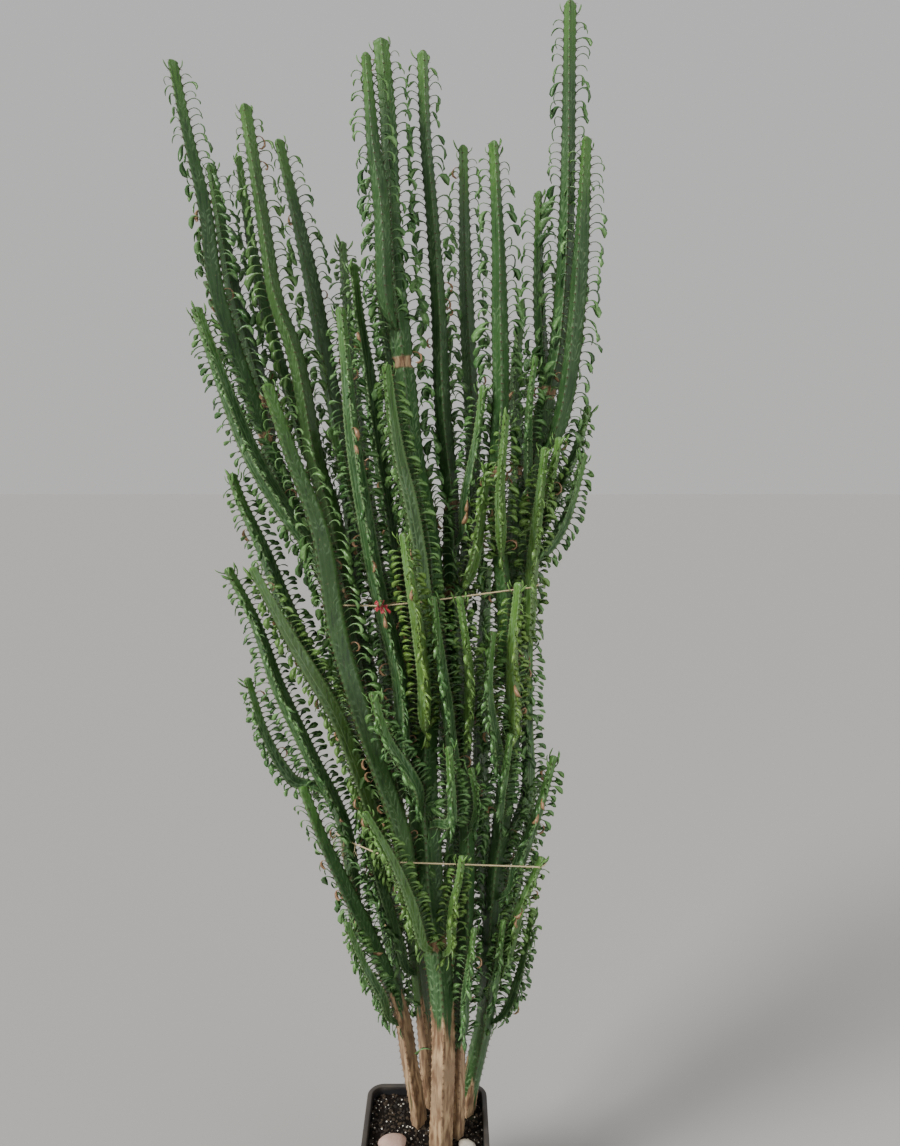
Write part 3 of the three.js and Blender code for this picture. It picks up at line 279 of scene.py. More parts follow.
def even_points(points, step):
    pieces = len(points) * PER_SPAN
    dense = np.array([curve_spot(points, i / pieces) for i in range(pieces + 1)])
    run = np.concatenate([[0], np.cumsum(np.linalg.norm(np.diff(dense, axis=0), axis=1))])
    count = max(2, round(run[-1] / step))
    even = np.linspace(0, run[-1], count + 1)
    return np.stack([np.interp(even, run, dense[:, axis]) for axis in range(3)], axis=1)


def ways_along(line):
    ahead = np.gradient(line, axis=0)
    return ahead / np.linalg.norm(ahead, axis=1)[:, None]


def spot_between(values, place):
    low = min(int(place), len(values) - 2)
    return values[low] + (values[low + 1] - values[low]) * (place - low)


print("a straight metre in steps of 10 mm:", len(even_points(np.diag([0, 0, 1000.0])[1:], 10)), "points")


# %% Draw the lines
def knot_at_height(knots, height):
    for i in range(1, len(knots)):
        if knots[i][2] >= height:
            return i - 1 + (height - knots[i - 1][2]) / (knots[i][2] - knots[i - 1][2])
    return len(knots) - 1


def draw_line(stem, order):
    stem["ribs"] = stem.get("ribs", 3)
    swing = FACING["swing"] * math.sin(order * FACING["step"])
    stem["turn"] = math.radians(stem.get("facing", FACING["middle"] + swing))
    stem["crest"] = stem["girth"] * CREST_PER_GIRTH
    via = [from_photo(*spot) for spot in stem["via"]]
    if "root" in stem:
        root = np.array([*stem["root"], SOIL_TOP])
        via = [root - (0, 0, BURIED), root + (0, 0, ROOT_RISE)] + via
    else:
        parent = by_name[stem["parent"]]
        stem["place"] = knot_at_height(parent["knots"], stem["at"])
        start = spot_between(parent["knots"], stem["place"])
        out = (via[0] - start) * (1, 1, 0)
        out = out / np.linalg.norm(out)
        via = [start, start + out * (parent["crest"] + ELBOW["out"]) + (0, 0, ELBOW["rise"])] + via
    stem["knots"] = even_points(via, KNOT_STEP)
    stem["length"] = KNOT_STEP * (len(stem["knots"]) - 1)


by_name = {}
for order, stem in enumerate(STEMS):
    draw_line(stem, order)
    by_name[stem["name"]] = stem
print("tallest tip:", round(max(stem["knots"][-1][2] for stem in STEMS)), "mm")

# %% [markdown]
# A stem isn't equally stout all along. It leaves its parent by a narrow neck, and it tapers towards the
# top. One stem has a wide flare at waist height, where the plant once stopped growing and started
# again.

# %% How stout a stem is
NECK = {"share": 0.5, "length": 60}
TIP = {"share": 0.62, "length": 240, "length_share": 0.35}


def ramp(value, low, high):
    share = np.clip((np.asarray(value, float) - low) / (high - low), 0, 1)
    return share * share * (3 - 2 * share)


def stoutness(stem, run):
    parent = by_name.get(stem.get("parent"))
    neck = ramp(run, parent["crest"] * 0.5, parent["crest"] + NECK["length"]) if parent else 1
    tip = ramp(stem["length"] - run, 0, max(TIP["length"], TIP["length_share"] * stem["length"]))
    plain = (NECK["share"] + (1 - NECK["share"]) * neck) * (TIP["share"] + (1 - TIP["share"]) * tip)
    if "swell" not in stem:
        return plain
    away = (SOIL_TOP - BURIED + run - stem["swell"]["height"]) / stem["swell"]["reach"]
    return plain + stem["swell"]["share"] * np.exp(-away * away)


for stem in STEMS[:2]:
    print(stem["name"], "half way up:", round(float(stoutness(stem, stem["length"] / 2)), 2), "of its girth")


# %% [markdown]
# Lines drawn from one picture would run through each other. Real stems push each other aside, so every
# pair of spots that is too close is moved apart along the line of sight, and each line is relaxed after
# every pass.

# %% Settle the stems beside each other
CLEARANCE = 5
SETTLE = {"passes": 160, "rate": 0.35, "reach": 130}


def close_pairs(knots, run, owner, parent):
    """Pairs of knots on two stems near each other, without those at a branch's own foot."""
    a, b = np.triu_indices(len(knots), 1)
    near = (np.abs(knots[a] - knots[b])[:, [0, 2]] < SETTLE["reach"]).all(axis=1) & (owner[a] != owner[b])
    a, b = a[near], b[near]
    rooted = ((parent[owner[a]] == owner[b]) & (run[a] < ELBOW["free"])
              | (parent[owner[b]] == owner[a]) & (run[b] < ELBOW["free"]))
    return a[~rooted], b[~rooted]


def relax(shift, part, up, place):
    """Smooth the pushes of one stem, and let its foot follow its parent's."""
    own = shift[part]
    own[:3 if up is None else 2] = 0 if up is None else spot_between(shift[up], place)
    own[2:-1] = own[2:-1] * 0.5 + (own[1:-2] + own[3:]) * 0.25


def settle():
    counts = [len(stem["knots"]) for stem in STEMS]
    first = np.cumsum([0] + counts)
    parts = {stem["name"]: slice(first[i], first[i + 1]) for i, stem in enumerate(STEMS)}
    names = list(parts)
    owner = np.repeat(np.arange(len(STEMS)), counts)
    parent = np.array([names.index(stem["parent"]) if "parent" in stem else -1 for stem in STEMS])
    knots = np.concatenate([stem["knots"] for stem in STEMS])
    run = np.concatenate([np.arange(count) * KNOT_STEP for count in counts])
    stout = np.concatenate([stem["crest"] * stoutness(stem, run[parts[stem["name"]]]) * np.ones(count)
                            for stem, count in zip(STEMS, counts)])
    sight = knots - EYE
    sight /= np.linalg.norm(sight, axis=1)[:, None]
    a, b = close_pairs(knots, run, owner, parent)
    need = stout[a] + stout[b] + CLEARANCE
    shift = np.zeros(len(knots))
    for _ in range(SETTLE["passes"]):
        spots = knots + sight * shift[:, None]
        gap = spots[a] - spots[b]
        flat = np.hypot(gap[:, 0], gap[:, 2] * 0.5)
        close = (flat < need) & (np.linalg.norm(gap, axis=1) < need) & (np.abs(gap[:, 2]) <= KNOT_STEP)
        more = (np.sqrt(np.maximum(need ** 2 - flat ** 2, 0)) - np.abs(gap[:, 1])) / 2
        more = np.where(close, np.where(gap[:, 1] >= 0, more, -more), 0) * SETTLE["rate"]
        shift += np.bincount(a, more, len(knots)) - np.bincount(b, more, len(knots))
        for stem in STEMS:
            relax(shift, parts[stem["name"]], parts.get(stem.get("parent")), stem.get("place"))
    for stem in STEMS:
        part = parts[stem["name"]]
        stem["knots"] = knots[part] + sight[part] * shift[part][:, None]
    return np.abs(shift).max()


print("farthest push:", round(settle(), 1), "mm")

# %% [markdown]
# ## Finishes
# Node trees are long when every sum takes a line of its own. Here a socket is wrapped as a value, and a
# sum written with plain signs adds the math nodes. The same helpers serve materials and Geometry Nodes.

# %% Helpers for node trees
class Value:
    """A socket of a node tree. A sum written with it adds a math node to the same tree."""

    def __init__(self, socket):
        self.socket = socket

    def __lt__(self, other):
        return calc("LESS_THAN", self, other)

    def __gt__(self, other):
        return calc("GREATER_THAN", self, other)


def tree_of(*values):
    return next(value.socket.id_data for value in values if isinstance(value, Value))


def put(tree, kind, sockets=None, output=0, **settings):
    """A new node with its settings made and its sockets filled or linked, as the value of one output."""
    made = tree.nodes.new(kind)
    for name, value in settings.items():
        setattr(made, name, value)
    for name, value in (sockets or {}).items():
        if isinstance(value, Value):
            tree.links.new(value.socket, made.inputs[name])
        else:
            made.inputs[name].default_value = value
    return Value(made.outputs[output]) if made.outputs else None


def calc(operation, *values, clamp=False):
    sockets = dict(enumerate(values))
    return put(tree_of(*values), "ShaderNodeMath", sockets, operation=operation, use_clamp=clamp)


SIGNS = {"add": "ADD", "sub": "SUBTRACT", "mul": "MULTIPLY", "truediv": "DIVIDE", "pow": "POWER",
         "mod": "FLOORED_MODULO"}
for sign, operation in SIGNS.items():
    setattr(Value, f"__{sign}__", lambda one, other, way=operation: calc(way, one, other))
    setattr(Value, f"__r{sign}__", lambda one, other, way=operation: calc(way, other, one))


def smooth(value, low, high):
    sockets = {"Value": value, "From Min": low, "From Max": high}
    return put(tree_of(value), "ShaderNodeMapRange", sockets, "Result", interpolation_type="SMOOTHSTEP")


print("signs that add a math node:", *SIGNS)


# %% Helpers for materials
def new_material(name, **settings):
    material = bpy.data.materials.new(name)
    material.use_nodes = True
    shader = material.node_tree.nodes["Principled BSDF"]
    for socket, value in settings.items():
        shader.inputs[socket.replace("_", " ")].default_value = value
    return material, material.node_tree, shader


def colour(red, green, blue):
    shares = [value / 255 for value in (red, green, blue)]
    return (*[s / 12.92 if s <= 0.04045 else ((s + 0.055) / 1.055) ** 2.4 for s in shares], 1)


def mix(share, one, other):
    return put(tree_of(share), "ShaderNodeMix", {0: share, 6: one, 7: other}, 2, data_type="RGBA")


def feed(shader, socket, value):
    shader.id_data.links.new(value.socket, shader.inputs[socket])


def stored(tree, name):
    return put(tree, "ShaderNodeAttribute", output="Fac", attribute_name=name)


def cloud(tree, scale, detail=3.0, stretch=None):
    place = put(tree, "ShaderNodeTexCoord", output="Object")
    if stretch:
        place = put(tree, "ShaderNodeMapping", {"Vector": place, "Scale": stretch})
    return put(tree, "ShaderNodeTexNoise", {"Vector": place, "Scale": scale, "Detail": detail}, "Fac")


def bump(shader, height, strength, distance, **under):
    sockets = {"Height": height, "Strength": strength, "Distance": distance, **under}
    made = put(shader.id_data, "ShaderNodeBump", sockets)
    feed(shader, "Normal", made)
    return made


print("half grey gives back", round(colour(128, 128, 128)[0], 2), "of the light")


# %% [markdown]
# The green skin is the main finish. New growth at a tip is bright, older skin is dark, and the flat
# faces carry pale marbling that runs up towards each tooth. The foot of a trunk is covered in cork. All
# of this follows the stem, so the material reads values that are stored along it: the side on the rib,
# the run and the distance to the tip, and it lays one colour over the other.

# %% The green skin of the stems
STREAKS_PER_METRE = 59


def green_layers(tree, side, fine, grain, streak):
    """The share and the colour of each layer of the living skin, from the lowest up."""
    left, tone, tooth, ridge = (stored(tree, name) for name in ("left", "tone", "tooth", "ridge"))
    young = smooth(left + cloud(tree, 9) * 0.05, 0.17, 0.02) * 0.6
    callus = smooth(side, 0.13, 0.02) * smooth(tooth, 0.72, 1.0)
    return [(tone * 0.7, colour(104, 140, 50)),
            (young, mix(fine, colour(70, 120, 42), colour(100, 150, 58))),
            # Long faint streaks and shadows run up the faces
            (smooth(grain, 0.5, 0.66) * (ridge * 0.7), colour(104, 132, 104)),
            (smooth(grain, 0.48, 0.34) * 0.5, colour(14, 32, 20)),
            (streak, colour(128, 160, 116)),
            # The crest is paler, a painted highlight along its line, with a dark reddish callus at each
            # tooth and small corky specks of age
            (smooth(side, 0.3, 0.0) * ridge, colour(140, 172, 116)),
            (callus * 0.85, colour(74, 44, 34)),
            (smooth(cloud(tree, 240, 2), 0.66, 0.74) * 0.45, colour(138, 122, 84))]


def marbling(tree, side):
    """Pale streaks that climb from the groove to the crest, broken up by clouds."""
    climb = stored(tree, "run") * STREAKS_PER_METRE + side * 1.15 + cloud(tree, 55, 2) * 2.6
    streak = smooth(calc("SINE", climb * FULL_TURN), 0.1, 0.95)
    face = smooth(side, 0.08, 0.3) * smooth(side, 1.02, 0.72)
    return streak * face * smooth(cloud(tree, 26), 0.4, 0.62) * 0.42


def cork_share(tree, side):
    """Where cork covers the skin: at the foot of a trunk, in long fissured plates, and at old scars."""
    aged = stored(tree, "cork")
    ragged = cloud(tree, 26, 5, stretch=(1, 1, 0.12)) - 0.5
    edge = aged + smooth(side, 0.75, 0.0) * 0.2 + ragged * 2.6
    scar = stored(tree, "scar") + ragged * 0.9
    return calc("MAXIMUM", smooth(edge, 0.4, 0.55) * smooth(aged, 0.0, 0.04), smooth(scar, 0.55, 0.8))


def stem_skin():
    material, tree, shader = new_material("stem_skin", Specular_IOR_Level=0.45)
    side = calc("ABSOLUTE", stored(tree, "side"))
    fine = cloud(tree, 160, 4)
    streak = marbling(tree, side)
    base = mix(cloud(tree, 9), colour(29, 60, 29), colour(60, 100, 46))
    for share, tint in green_layers(tree, side, fine, cloud(tree, 210, 3, stretch=(1, 1, 0.06)), streak):
        base = mix(share, base, tint)
    rough = cloud(tree, 120, 5, stretch=(1, 1, 0.22))
    cork = mix(smooth(rough, 0.35, 0.68), colour(112, 84, 60), colour(190, 160, 122))
    cork = mix(smooth(cloud(tree, 14), 0.45, 0.7), cork, colour(146, 120, 92))
    corky = cork_share(tree, side)
    feed(shader, "Base Color", mix(corky, base, cork))
    feed(shader, "Roughness", calc("ADD", fine * 0.22 + 0.36, corky * 0.35, clamp=True))
    under = bump(shader, fine + streak * -0.5, 0.25, 0.001)
    bump(shader, rough * corky, 0.9, 0.004, Normal=under)
    return material


stem_material = stem_skin()
print("finish:", stem_material.name, len(stem_material.node_tree.nodes), "nodes")

# %% [markdown]
# A leaf is a thin blade on a stalk. The stalk is dark, the blade is mid green with a paler midrib, and
# no two leaves have quite the same green. Old leaves dry to tan. The thorns are dark and horny.

# %% Leaves and thorns
def leaf_skin():
    material, tree, shader = new_material("leaf_skin", Roughness=0.36, Specular_IOR_Level=0.5)
    green = mix(stored(tree, "tint"), colour(58, 104, 52), colour(126, 174, 104))
    midrib = smooth(calc("ABSOLUTE", stored(tree, "sideways")), 0.3, 0.0)
    for share, tint in ((stored(tree, "tone") * 0.8, colour(136, 170, 66)),
                        (smooth(stored(tree, "left"), 0.1, 0.0) * 0.6, colour(104, 152, 70)),
                        (smooth(stored(tree, "lengthwise"), 0.4, 0.05) * 0.7, colour(52, 50, 28)),
                        (midrib * 0.35, colour(158, 184, 128)),
                        (cloud(tree, 130) * 0.35, colour(40, 70, 30))):
        green = mix(share, green, tint)
    tan = mix(cloud(tree, 90, 4), colour(120, 84, 54), colour(196, 158, 122))
    feed(shader, "Base Color", mix(stored(tree, "dry"), green, tan))
    bump(shader, cloud(tree, 420), 0.3, 0.0008)
    return material


def thorn_skin():
    material, tree, shader = new_material("thorn_skin", Roughness=0.45)
    feed(shader, "Base Color", mix(cloud(tree, 300, 2), colour(48, 26, 20), colour(96, 60, 42)))
    return material


leaf_material = leaf_skin()
thorn_material = thorn_skin()
print("finishes:", leaf_material.name, thorn_material.name)

# %% [markdown]
# ## Leaf forms
# On the tall stems a leaf rises on a thin stalk out of its tooth, arches over and hangs its
# spoon-shaped blade down, turned edge up. On the branches the leaves stand straight out like the teeth
# of a comb. At a tip they are young and upright, and here and there one has dried and curled. Each form
# is a strip of three-cornered cross-sections with about twenty faces, because it is repeated thousands
# of times.

# %% One blade from a midrib line
def new_mesh(name, points, faces, edges=()):
    """A mesh from points in millimetres."""
    mesh = bpy.data.meshes.new(name)
    mesh.from_pydata([Vector(point) * MM for point in points], list(edges), faces)
    return mesh


def ring_faces(levels, count):
    """The faces between rings of points, each ring beyond the one before, with both ends closed."""
    faces = []
    for level in range(levels - 1):
        for i in range(count):
            a, b = level * count + i, level * count + (i + 1) % count
            faces.append((a, b, b + count, a + count))
    return faces + [tuple(reversed(range(count))), tuple(range((levels - 1) * count, levels * count))]


def blade_mesh(name, midrib, widths, thick, cup, twist, dry):
    points, along, across = [], [], []
    line = np.array([(x, 0, z) for x, z in midrib], float)
    last = len(line) - 1
    for i, spot in enumerate(line):
        ahead = line[min(i + 1, last)] - line[max(i - 1, 0)]
        ahead /= np.linalg.norm(ahead)
        turn = twist * i / last
        way = np.array([0, math.cos(turn), 0]) + np.cross(ahead, (0, 1, 0)) * math.sin(turn)
        face = np.cross(ahead, way)
        half, deep = widths[i] / 2, min(thick, widths[i] / 2) / 2
        rim = spot + face * (deep + cup * half)
        points += [rim + way * half, rim - way * half, spot - face * deep]
        along += [i / last] * 3
        across += [1, -1, 0]
    mesh = new_mesh(name, points, ring_faces(len(line), 3))
    for label, values in (("lengthwise", along), ("sideways", across), ("dry", [dry] * len(points))):
        mesh.attributes.new(label, "FLOAT", "POINT").data.foreach_set("value", values)
    mesh.shade_smooth()
    return mesh


# Each form has its midrib as out and up, its widths, and then its thickness, cup, twist and dryness
LEAF_FORMS = {
    "1_slim": ([(-2, 0), (4, 5), (9, 8), (14, 8.5), (18.5, 6), (21, 1.5), (21.5, -4)],
               [2.8, 2.0, 1.8, 2.6, 4.6, 4.8, 1.4], 1.0, 0.2, 1.0, 0),
    "2_slim": ([(-2, 0), (5, 4), (11, 6), (16, 5), (19.5, 1), (20.5, -5), (19.5, -10)],
               [2.8, 2.0, 2.0, 3.4, 6.4, 6.6, 1.6], 1.0, 0.2, -0.9, 0),
    "3_hook": ([(-2, 0), (4, 4.5), (10, 6.5), (16, 5), (20, 0), (21.5, -7), (20, -14)],
               [2.8, 2.4, 3.0, 6.8, 10.0, 9.6, 2.4], 1.0, 0.2, 1.25, 0),
    "4_hook": ([(-2, 0), (3, 5), (8, 8.5), (14, 9), (19, 6), (22, 0), (22, -7)],
               [2.8, 2.4, 2.8, 6.0, 10.4, 10.4, 2.4], 1.0, 0.2, -1.1, 0),
    "5_spoon": ([(-2, 0), (5, 3), (12, 3.6), (18, 0.5), (23, -5), (26, -12), (26.5, -19)],
                [2.6, 2.6, 4.6, 10.0, 14.0, 13.0, 2.6], 1.0, 0.16, 1.1, 0),
    "6_paddle": ([(-2, 0), (3, 0.6), (7, 1), (11, 0.6), (15, -0.8), (18.5, -3.5)],
                 [2.6, 3.2, 6.4, 9.4, 8.8, 2.6], 0.8, 0.12, 1.3, 0),
    "7_paddle": ([(-2, 0), (3, 0), (7, -0.6), (11.5, -2.4), (15.5, -5.6), (19, -10)],
                 [2.6, 3.2, 6.0, 9.0, 8.6, 2.4], 0.8, 0.14, -1.2, 0),
    "8_young": ([(-2, -1), (3, 4), (6, 9.5), (7.5, 16), (7, 22)],
                [3.2, 4.2, 6.0, 5.2, 1.2], 1.4, 0.25, 0.5, 0),
    "9_dry": ([(-2, 0), (4, 1), (8, -1), (11, -6), (11, -12), (7, -17), (3, -17)],
              [1.6, 1.5, 3.4, 6.4, 7.0, 4.6, 1.4], 0.6, 0.7, 0.6, 1),
}
YOUNG_FORM = 7
DRY_FORM = 8
FIRST_FORM = {"tip": 0.0, "high": 1.5, "tall": 3.0, "comb": 5.0}
leaf_forms = bpy.data.collections.new("leaf forms")
for name, form in LEAF_FORMS.items():
    leaf_forms.objects.link(bpy.data.objects.new(name, blade_mesh(name, *form)))

# %% [markdown]
# The thorns stand in pairs on the callus of each tooth, a slim three-sided point each.

# %% The pair of thorns
THORN = {"length": 4.6, "thick": 0.55, "spread": 2.6, "drop": 0.9, "apart": 0.5, "sunk": 0.6}


def thorn_mesh():
    points, faces = [], []
    for way in (-1, 1):
        first = len(points)
        foot = np.array([-THORN["sunk"], way * THORN["apart"], -THORN["sunk"]])
        for angle in (0, FULL_TURN / 3, FULL_TURN * 2 / 3):
            points.append(foot + (0, THORN["thick"] * math.cos(angle), THORN["thick"] * math.sin(angle)))
        points.append(foot + (THORN["length"], way * THORN["spread"], -THORN["drop"]))
        faces += [[first + i for i in face] for face in ((0, 1, 3), (1, 2, 3), (2, 0, 3), (2, 1, 0))]
    return new_mesh("thorns", points, faces)


thorns = bpy.data.objects.new("thorns", thorn_mesh())
print("thorn faces:", len(thorns.data.polygons))

# %% [markdown]
# ## The ribbed stem as a node tree
# A stem is one rule repeated: a star-shaped section swept along a line, with a tooth at even steps on
# each rib, and at each tooth a leaf and a pair of thorns. That is the kind of shape that Geometry Nodes
# make well. The line comes in as a chain of points, and each point carries its size and its direction.

# %% Helpers for Geometry Nodes
def new_tree(name, sockets):
    tree = bpy.data.node_groups.new(name, "GeometryNodeTree")
    for label, kind in {"Geometry": "Geometry", **sockets}.items():
        tree.interface.new_socket(label, in_out="INPUT", socket_type="NodeSocket" + kind)
    tree.interface.new_socket("Geometry", in_out="OUTPUT", socket_type="NodeSocketGeometry")
    outputs = tree.nodes.new("NodeGroupInput").outputs
    return tree, {label: Value(outputs[label]) for label in ("Geometry", *sockets)}


def named(tree, name, kind="FLOAT"):
    return put(tree, "GeometryNodeInputNamedAttribute", {"Name": name}, "Attribute", data_type=kind)


def keep(geometry, name, value, domain="POINT"):
    sockets = {"Geometry": geometry, "Name": name, "Value": value}
    return put(tree_of(geometry), "GeometryNodeStoreNamedAttribute", sockets,
               data_type="FLOAT", domain=domain)


def chance(low, high, seed):
    sockets = {2: low, 3: high, "Seed": seed}
    return put(tree_of(seed), "FunctionNodeRandomValue", sockets, 1, data_type="FLOAT")


def both(one, other):
    return put(tree_of(one), "FunctionNodeBooleanMath", {0: one, 1: other}, operation="AND")


def pick(switch, plain, special):
    sockets = {"Switch": switch, "False": plain, "True": special}
    return put(tree_of(switch), "GeometryNodeSwitch", sockets, input_type="INT")


def vector(x, y, z):
    return put(tree_of(x, y, z), "ShaderNodeCombineXYZ", {"X": x, "Y": y, "Z": z})


def rotation_of(x, y, z):
    return put(tree_of(x, y, z), "FunctionNodeEulerToRotation", {0: vector(x, y, z)})


def turned(rotation, x, y, z):
    sockets = {0: rotation, 1: rotation_of(x, y, z)}
    return put(tree_of(rotation), "FunctionNodeRotateRotation", sockets, rotation_space="LOCAL")


def children(collection):
    sockets = {"Collection": collection, "Separate Children": True, "Reset Children": True}
    return put(tree_of(collection), "GeometryNodeCollectionInfo", sockets)


def painted(geometry, material):
    return put(tree_of(geometry), "GeometryNodeSetMaterial", {"Geometry": geometry, "Material": material})


def shown(instances, material):
    real = put(tree_of(instances), "GeometryNodeRealizeInstances", {"Geometry": instances})
    return painted(real, material)


def joined(*parts):
    tree = tree_of(*parts)
    join = tree.nodes.new("GeometryNodeJoinGeometry")
    for part in parts:
        tree.links.new(part.socket, join.inputs[0])
    return Value(join.outputs[0])


# %% A section swept along a chain
def sweep(tree, chain, sides):
    """A ring of points swept along the chain. Each point keeps its share of the way around."""
    path = put(tree, "GeometryNodeMeshToCurve", {"Mesh": chain})
    circle = put(tree, "GeometryNodeCurvePrimitiveCircle", {"Resolution": sides, "Radius": 1.0})
    circle = keep(circle, "around", put(tree, "GeometryNodeInputIndex") / sides)
    return put(tree, "GeometryNodeCurveToMesh", {"Curve": path, "Profile Curve": circle, "Fill Caps": True})


def set_out(skin, reach, angle):
    """The swept skin with each point at its reach from the centre, and the way that the chain runs."""
    tree = tree_of(skin)
    ahead = {"Vector": named(tree, "ahead", "FLOAT_VECTOR")}
    ahead = put(tree, "FunctionNodeAlignRotationToVector", ahead, axis="Z")
    spoke = vector(reach * calc("COSINE", angle), reach * calc("SINE", angle), 0.0)
    spoke = put(tree, "FunctionNodeRotateVector", {"Vector": spoke, "Rotation": ahead})
    place = {0: named(tree, "centre", "FLOAT_VECTOR"), 1: spoke}
    place = put(tree, "ShaderNodeVectorMath", place, operation="ADD")
    skin = put(tree, "GeometryNodeSetPosition", {"Geometry": skin, "Position": place})
    return put(tree, "GeometryNodeSetShadeSmooth", {"Geometry": skin, "Shade Smooth": True}), ahead


# %% The star-shaped section
PER_RIB = 6
CREST_PULL = 1.5
HOLLOW = 0.05
RINGS_PER_TOOTH = 4
TOOTH_DEPTH = 2.4


def section_place(tree, given):
    """How far out a point of the swept ring goes, with its angle round the stem, its side and its tooth."""
    ribs = given["Ribs"]
    around = named(tree, "around") * ribs
    rib = calc("ROUND", around)
    off = (around - rib) * 2
    share = calc("ABSOLUTE", off) ** CREST_PULL
    side = calc("SIGN", off) * share
    half = math.pi / ribs
    angle = given["Turn"] + FULL_TURN / ribs * (rib + side * 0.5) + named(tree, "twist")
    # A straight line from the crest to the groove, in polar form
    groove = named(tree, "groove")
    away = share * half
    low = groove * calc("SINE", half)
    slant = 1 - groove * calc("COSINE", half)
    reach = low / (calc("SINE", away) * slant + low * calc("COSINE", away))
    reach = reach * (1 - calc("SINE", share * math.pi) * HOLLOW) * named(tree, "crest")
    # The ribs take turns with their teeth
    ring = named(tree, "ring") + rib % ribs * (RINGS_PER_TOOTH - 1)
    tooth = calc("COSINE", ring % RINGS_PER_TOOTH * (FULL_TURN / RINGS_PER_TOOTH)) * 0.5 + 0.5
    notch = (1 - tooth) * (1 - share) ** 4 * given["Tooth depth"] * named(tree, "toothed")
    return reach - notch, angle, side, tooth


print("a three-ribbed section has", 3 * PER_RIB, "points")


# %% Leaves and thorns at the teeth
BARE_SIDE = -0.8
YOUNG_REACH = 0.016
LEAF_TURNS = ((-0.55, 0.55), (-0.28, 0.3), (-0.4, 0.4))


def leaves_on(skin, given, at_tooth, out):
    """A leaf at most teeth. A tall stem is bare on the side that faces the viewer."""
    tree, seed = tree_of(skin), given["Seed"]
    facing = calc("SINE", named(tree, "angle")) + (1 - named(tree, "bare"))
    leafy = both(both(at_tooth, chance(0.0, 1.0, seed) < named(tree, "leafy")), facing > BARE_SIDE)
    roll, pitch, yaw = LEAF_TURNS
    turn = turned(out, chance(*roll, seed + 2), chance(*pitch, seed + 1), chance(*yaw, seed + 3))
    grown = calc("FLOOR", named(tree, "form") + chance(0.0, 1.99, seed + 5))
    form = pick(chance(0.0, 1.0, seed + 4) < named(tree, "dried"), grown, DRY_FORM)
    form = pick(named(tree, "left") < YOUNG_REACH, form, YOUNG_FORM)
    leaves = put(tree, "GeometryNodeInstanceOnPoints", {
        "Points": skin, "Selection": leafy, "Instance": children(given["Leaf forms"]), "Pick Instance": True,
        "Instance Index": form, "Rotation": turn,
        "Scale": chance(0.78, 1.12, seed + 6) * given["Leaf size"] * named(tree, "vigour")})
    return keep(leaves, "tint", chance(0.0, 1.0, seed + 7), "INSTANCE")


def thorns_on(skin, given, at_tooth, out):
    """Thorns at every tooth, except on old bark."""
    tree = tree_of(skin)
    pair = put(tree, "GeometryNodeObjectInfo", {"Object": given["Thorns"]}, "Geometry")
    return put(tree, "GeometryNodeInstanceOnPoints", {
        "Points": skin, "Selection": both(at_tooth, named(tree, "bark") < 0.9), "Instance": pair,
        "Rotation": out, "Scale": chance(0.7, 1.2, given["Seed"] + 8)})


# %% Build the stem's tree
USED_UP = ("centre", "ahead", "around", "angle", "crest", "groove", "toothed", "leafy", "dried", "ring",
           "twist", "form", "vigour", "bare")


def stem_tree():
    tree, given = new_tree("Ribbed stem", {
        "Ribs": "Int", "Turn": "Float", "Tooth depth": "Float", "Leaf size": "Float", "Seed": "Int",
        "Leaf forms": "Collection", "Thorns": "Object"})
    skin = sweep(tree, given["Geometry"], given["Ribs"] * PER_RIB)
    reach, angle, side, tooth = section_place(tree, given)
    for label, value in (("side", side), ("tooth", tooth), ("angle", angle)):
        skin = keep(skin, label, value)
    skin, ahead = set_out(skin, reach, angle)
    at_crest = calc("ABSOLUTE", named(tree, "side")) < 0.01
    at_tooth = both(at_crest, named(tree, "tooth") > 0.99)
    out = turned(ahead, 0.0, 0.0, named(tree, "angle"))
    leaves = leaves_on(skin, given, at_tooth, out)
    spikes = thorns_on(skin, given, at_tooth, out)
    whole = joined(painted(skin, stem_material), shown(leaves, leaf_material), shown(spikes, thorn_material))
    for label in USED_UP:
        whole = put(tree, "GeometryNodeRemoveAttribute", {"Geometry": whole, "Name": label})
    put(tree, "NodeGroupOutput", {"Geometry": whole})
    return tree


ribbed_stem = stem_tree()
print("tree:", ribbed_stem.name, len(ribbed_stem.nodes), "nodes")

# %% [markdown]
# ## The line of each stem with its sizes
# The teeth are 14 mm apart on the tall stems and 10 mm on the comb-like ones, with four rings of the
# sweep to each tooth. The line ends in a small dome. A trunk's foot is corky and almost round. Where
# growth once paused, a stem has a waist with dry leaves and a scar.

# %% What differs from stem to stem
TOOTH_STEP = {"tall": 14, "comb": 10}
TALL = {"top_left_1", "top_left_2", "top_left_3", "top_left_4", "top_left_6", "top_middle_1", "top_middle_6",
        "top_middle_7", "top_right_1", "top_right_2"}
GROOVE_PER_CREST = {3: 0.45, 4: 0.6}
BARK = {"low": 244, "high": 620, "groove": 0.72}
DOME = [(0.35, 0.93), (0.7, 0.72), (0.92, 0.42), (1.0, 0.12)]
DOME_HEIGHT = 9
TONES = {"mid_middle_2": 0.8, "mid_right_6": 0.75, "mid_middle_5": 0.5, "mid_middle_6": 0.5,
         "mid_middle_8": 0.45, "low_middle_5": 0.6, "mid_right_3": 0.5, "mid_right_4": 0.5,
         "low_left_4": 0.45, "low_middle_3": 0.4, "low_right_2": 0.35, "trunk_back_left": 0.2,
         "mid_middle_1": 0.2, "top_left_6": 0.12}
LEAFY_FROM = {"trunk_front": 830, "trunk_left": 520, "other": 480, "over": 160}
CORK_TOPS = {"trunk_front": 520, "trunk_left": 515, "trunk_middle": 460, "trunk_back_left": 410,
             "trunk_right": 300}
CORK_FADE = 110
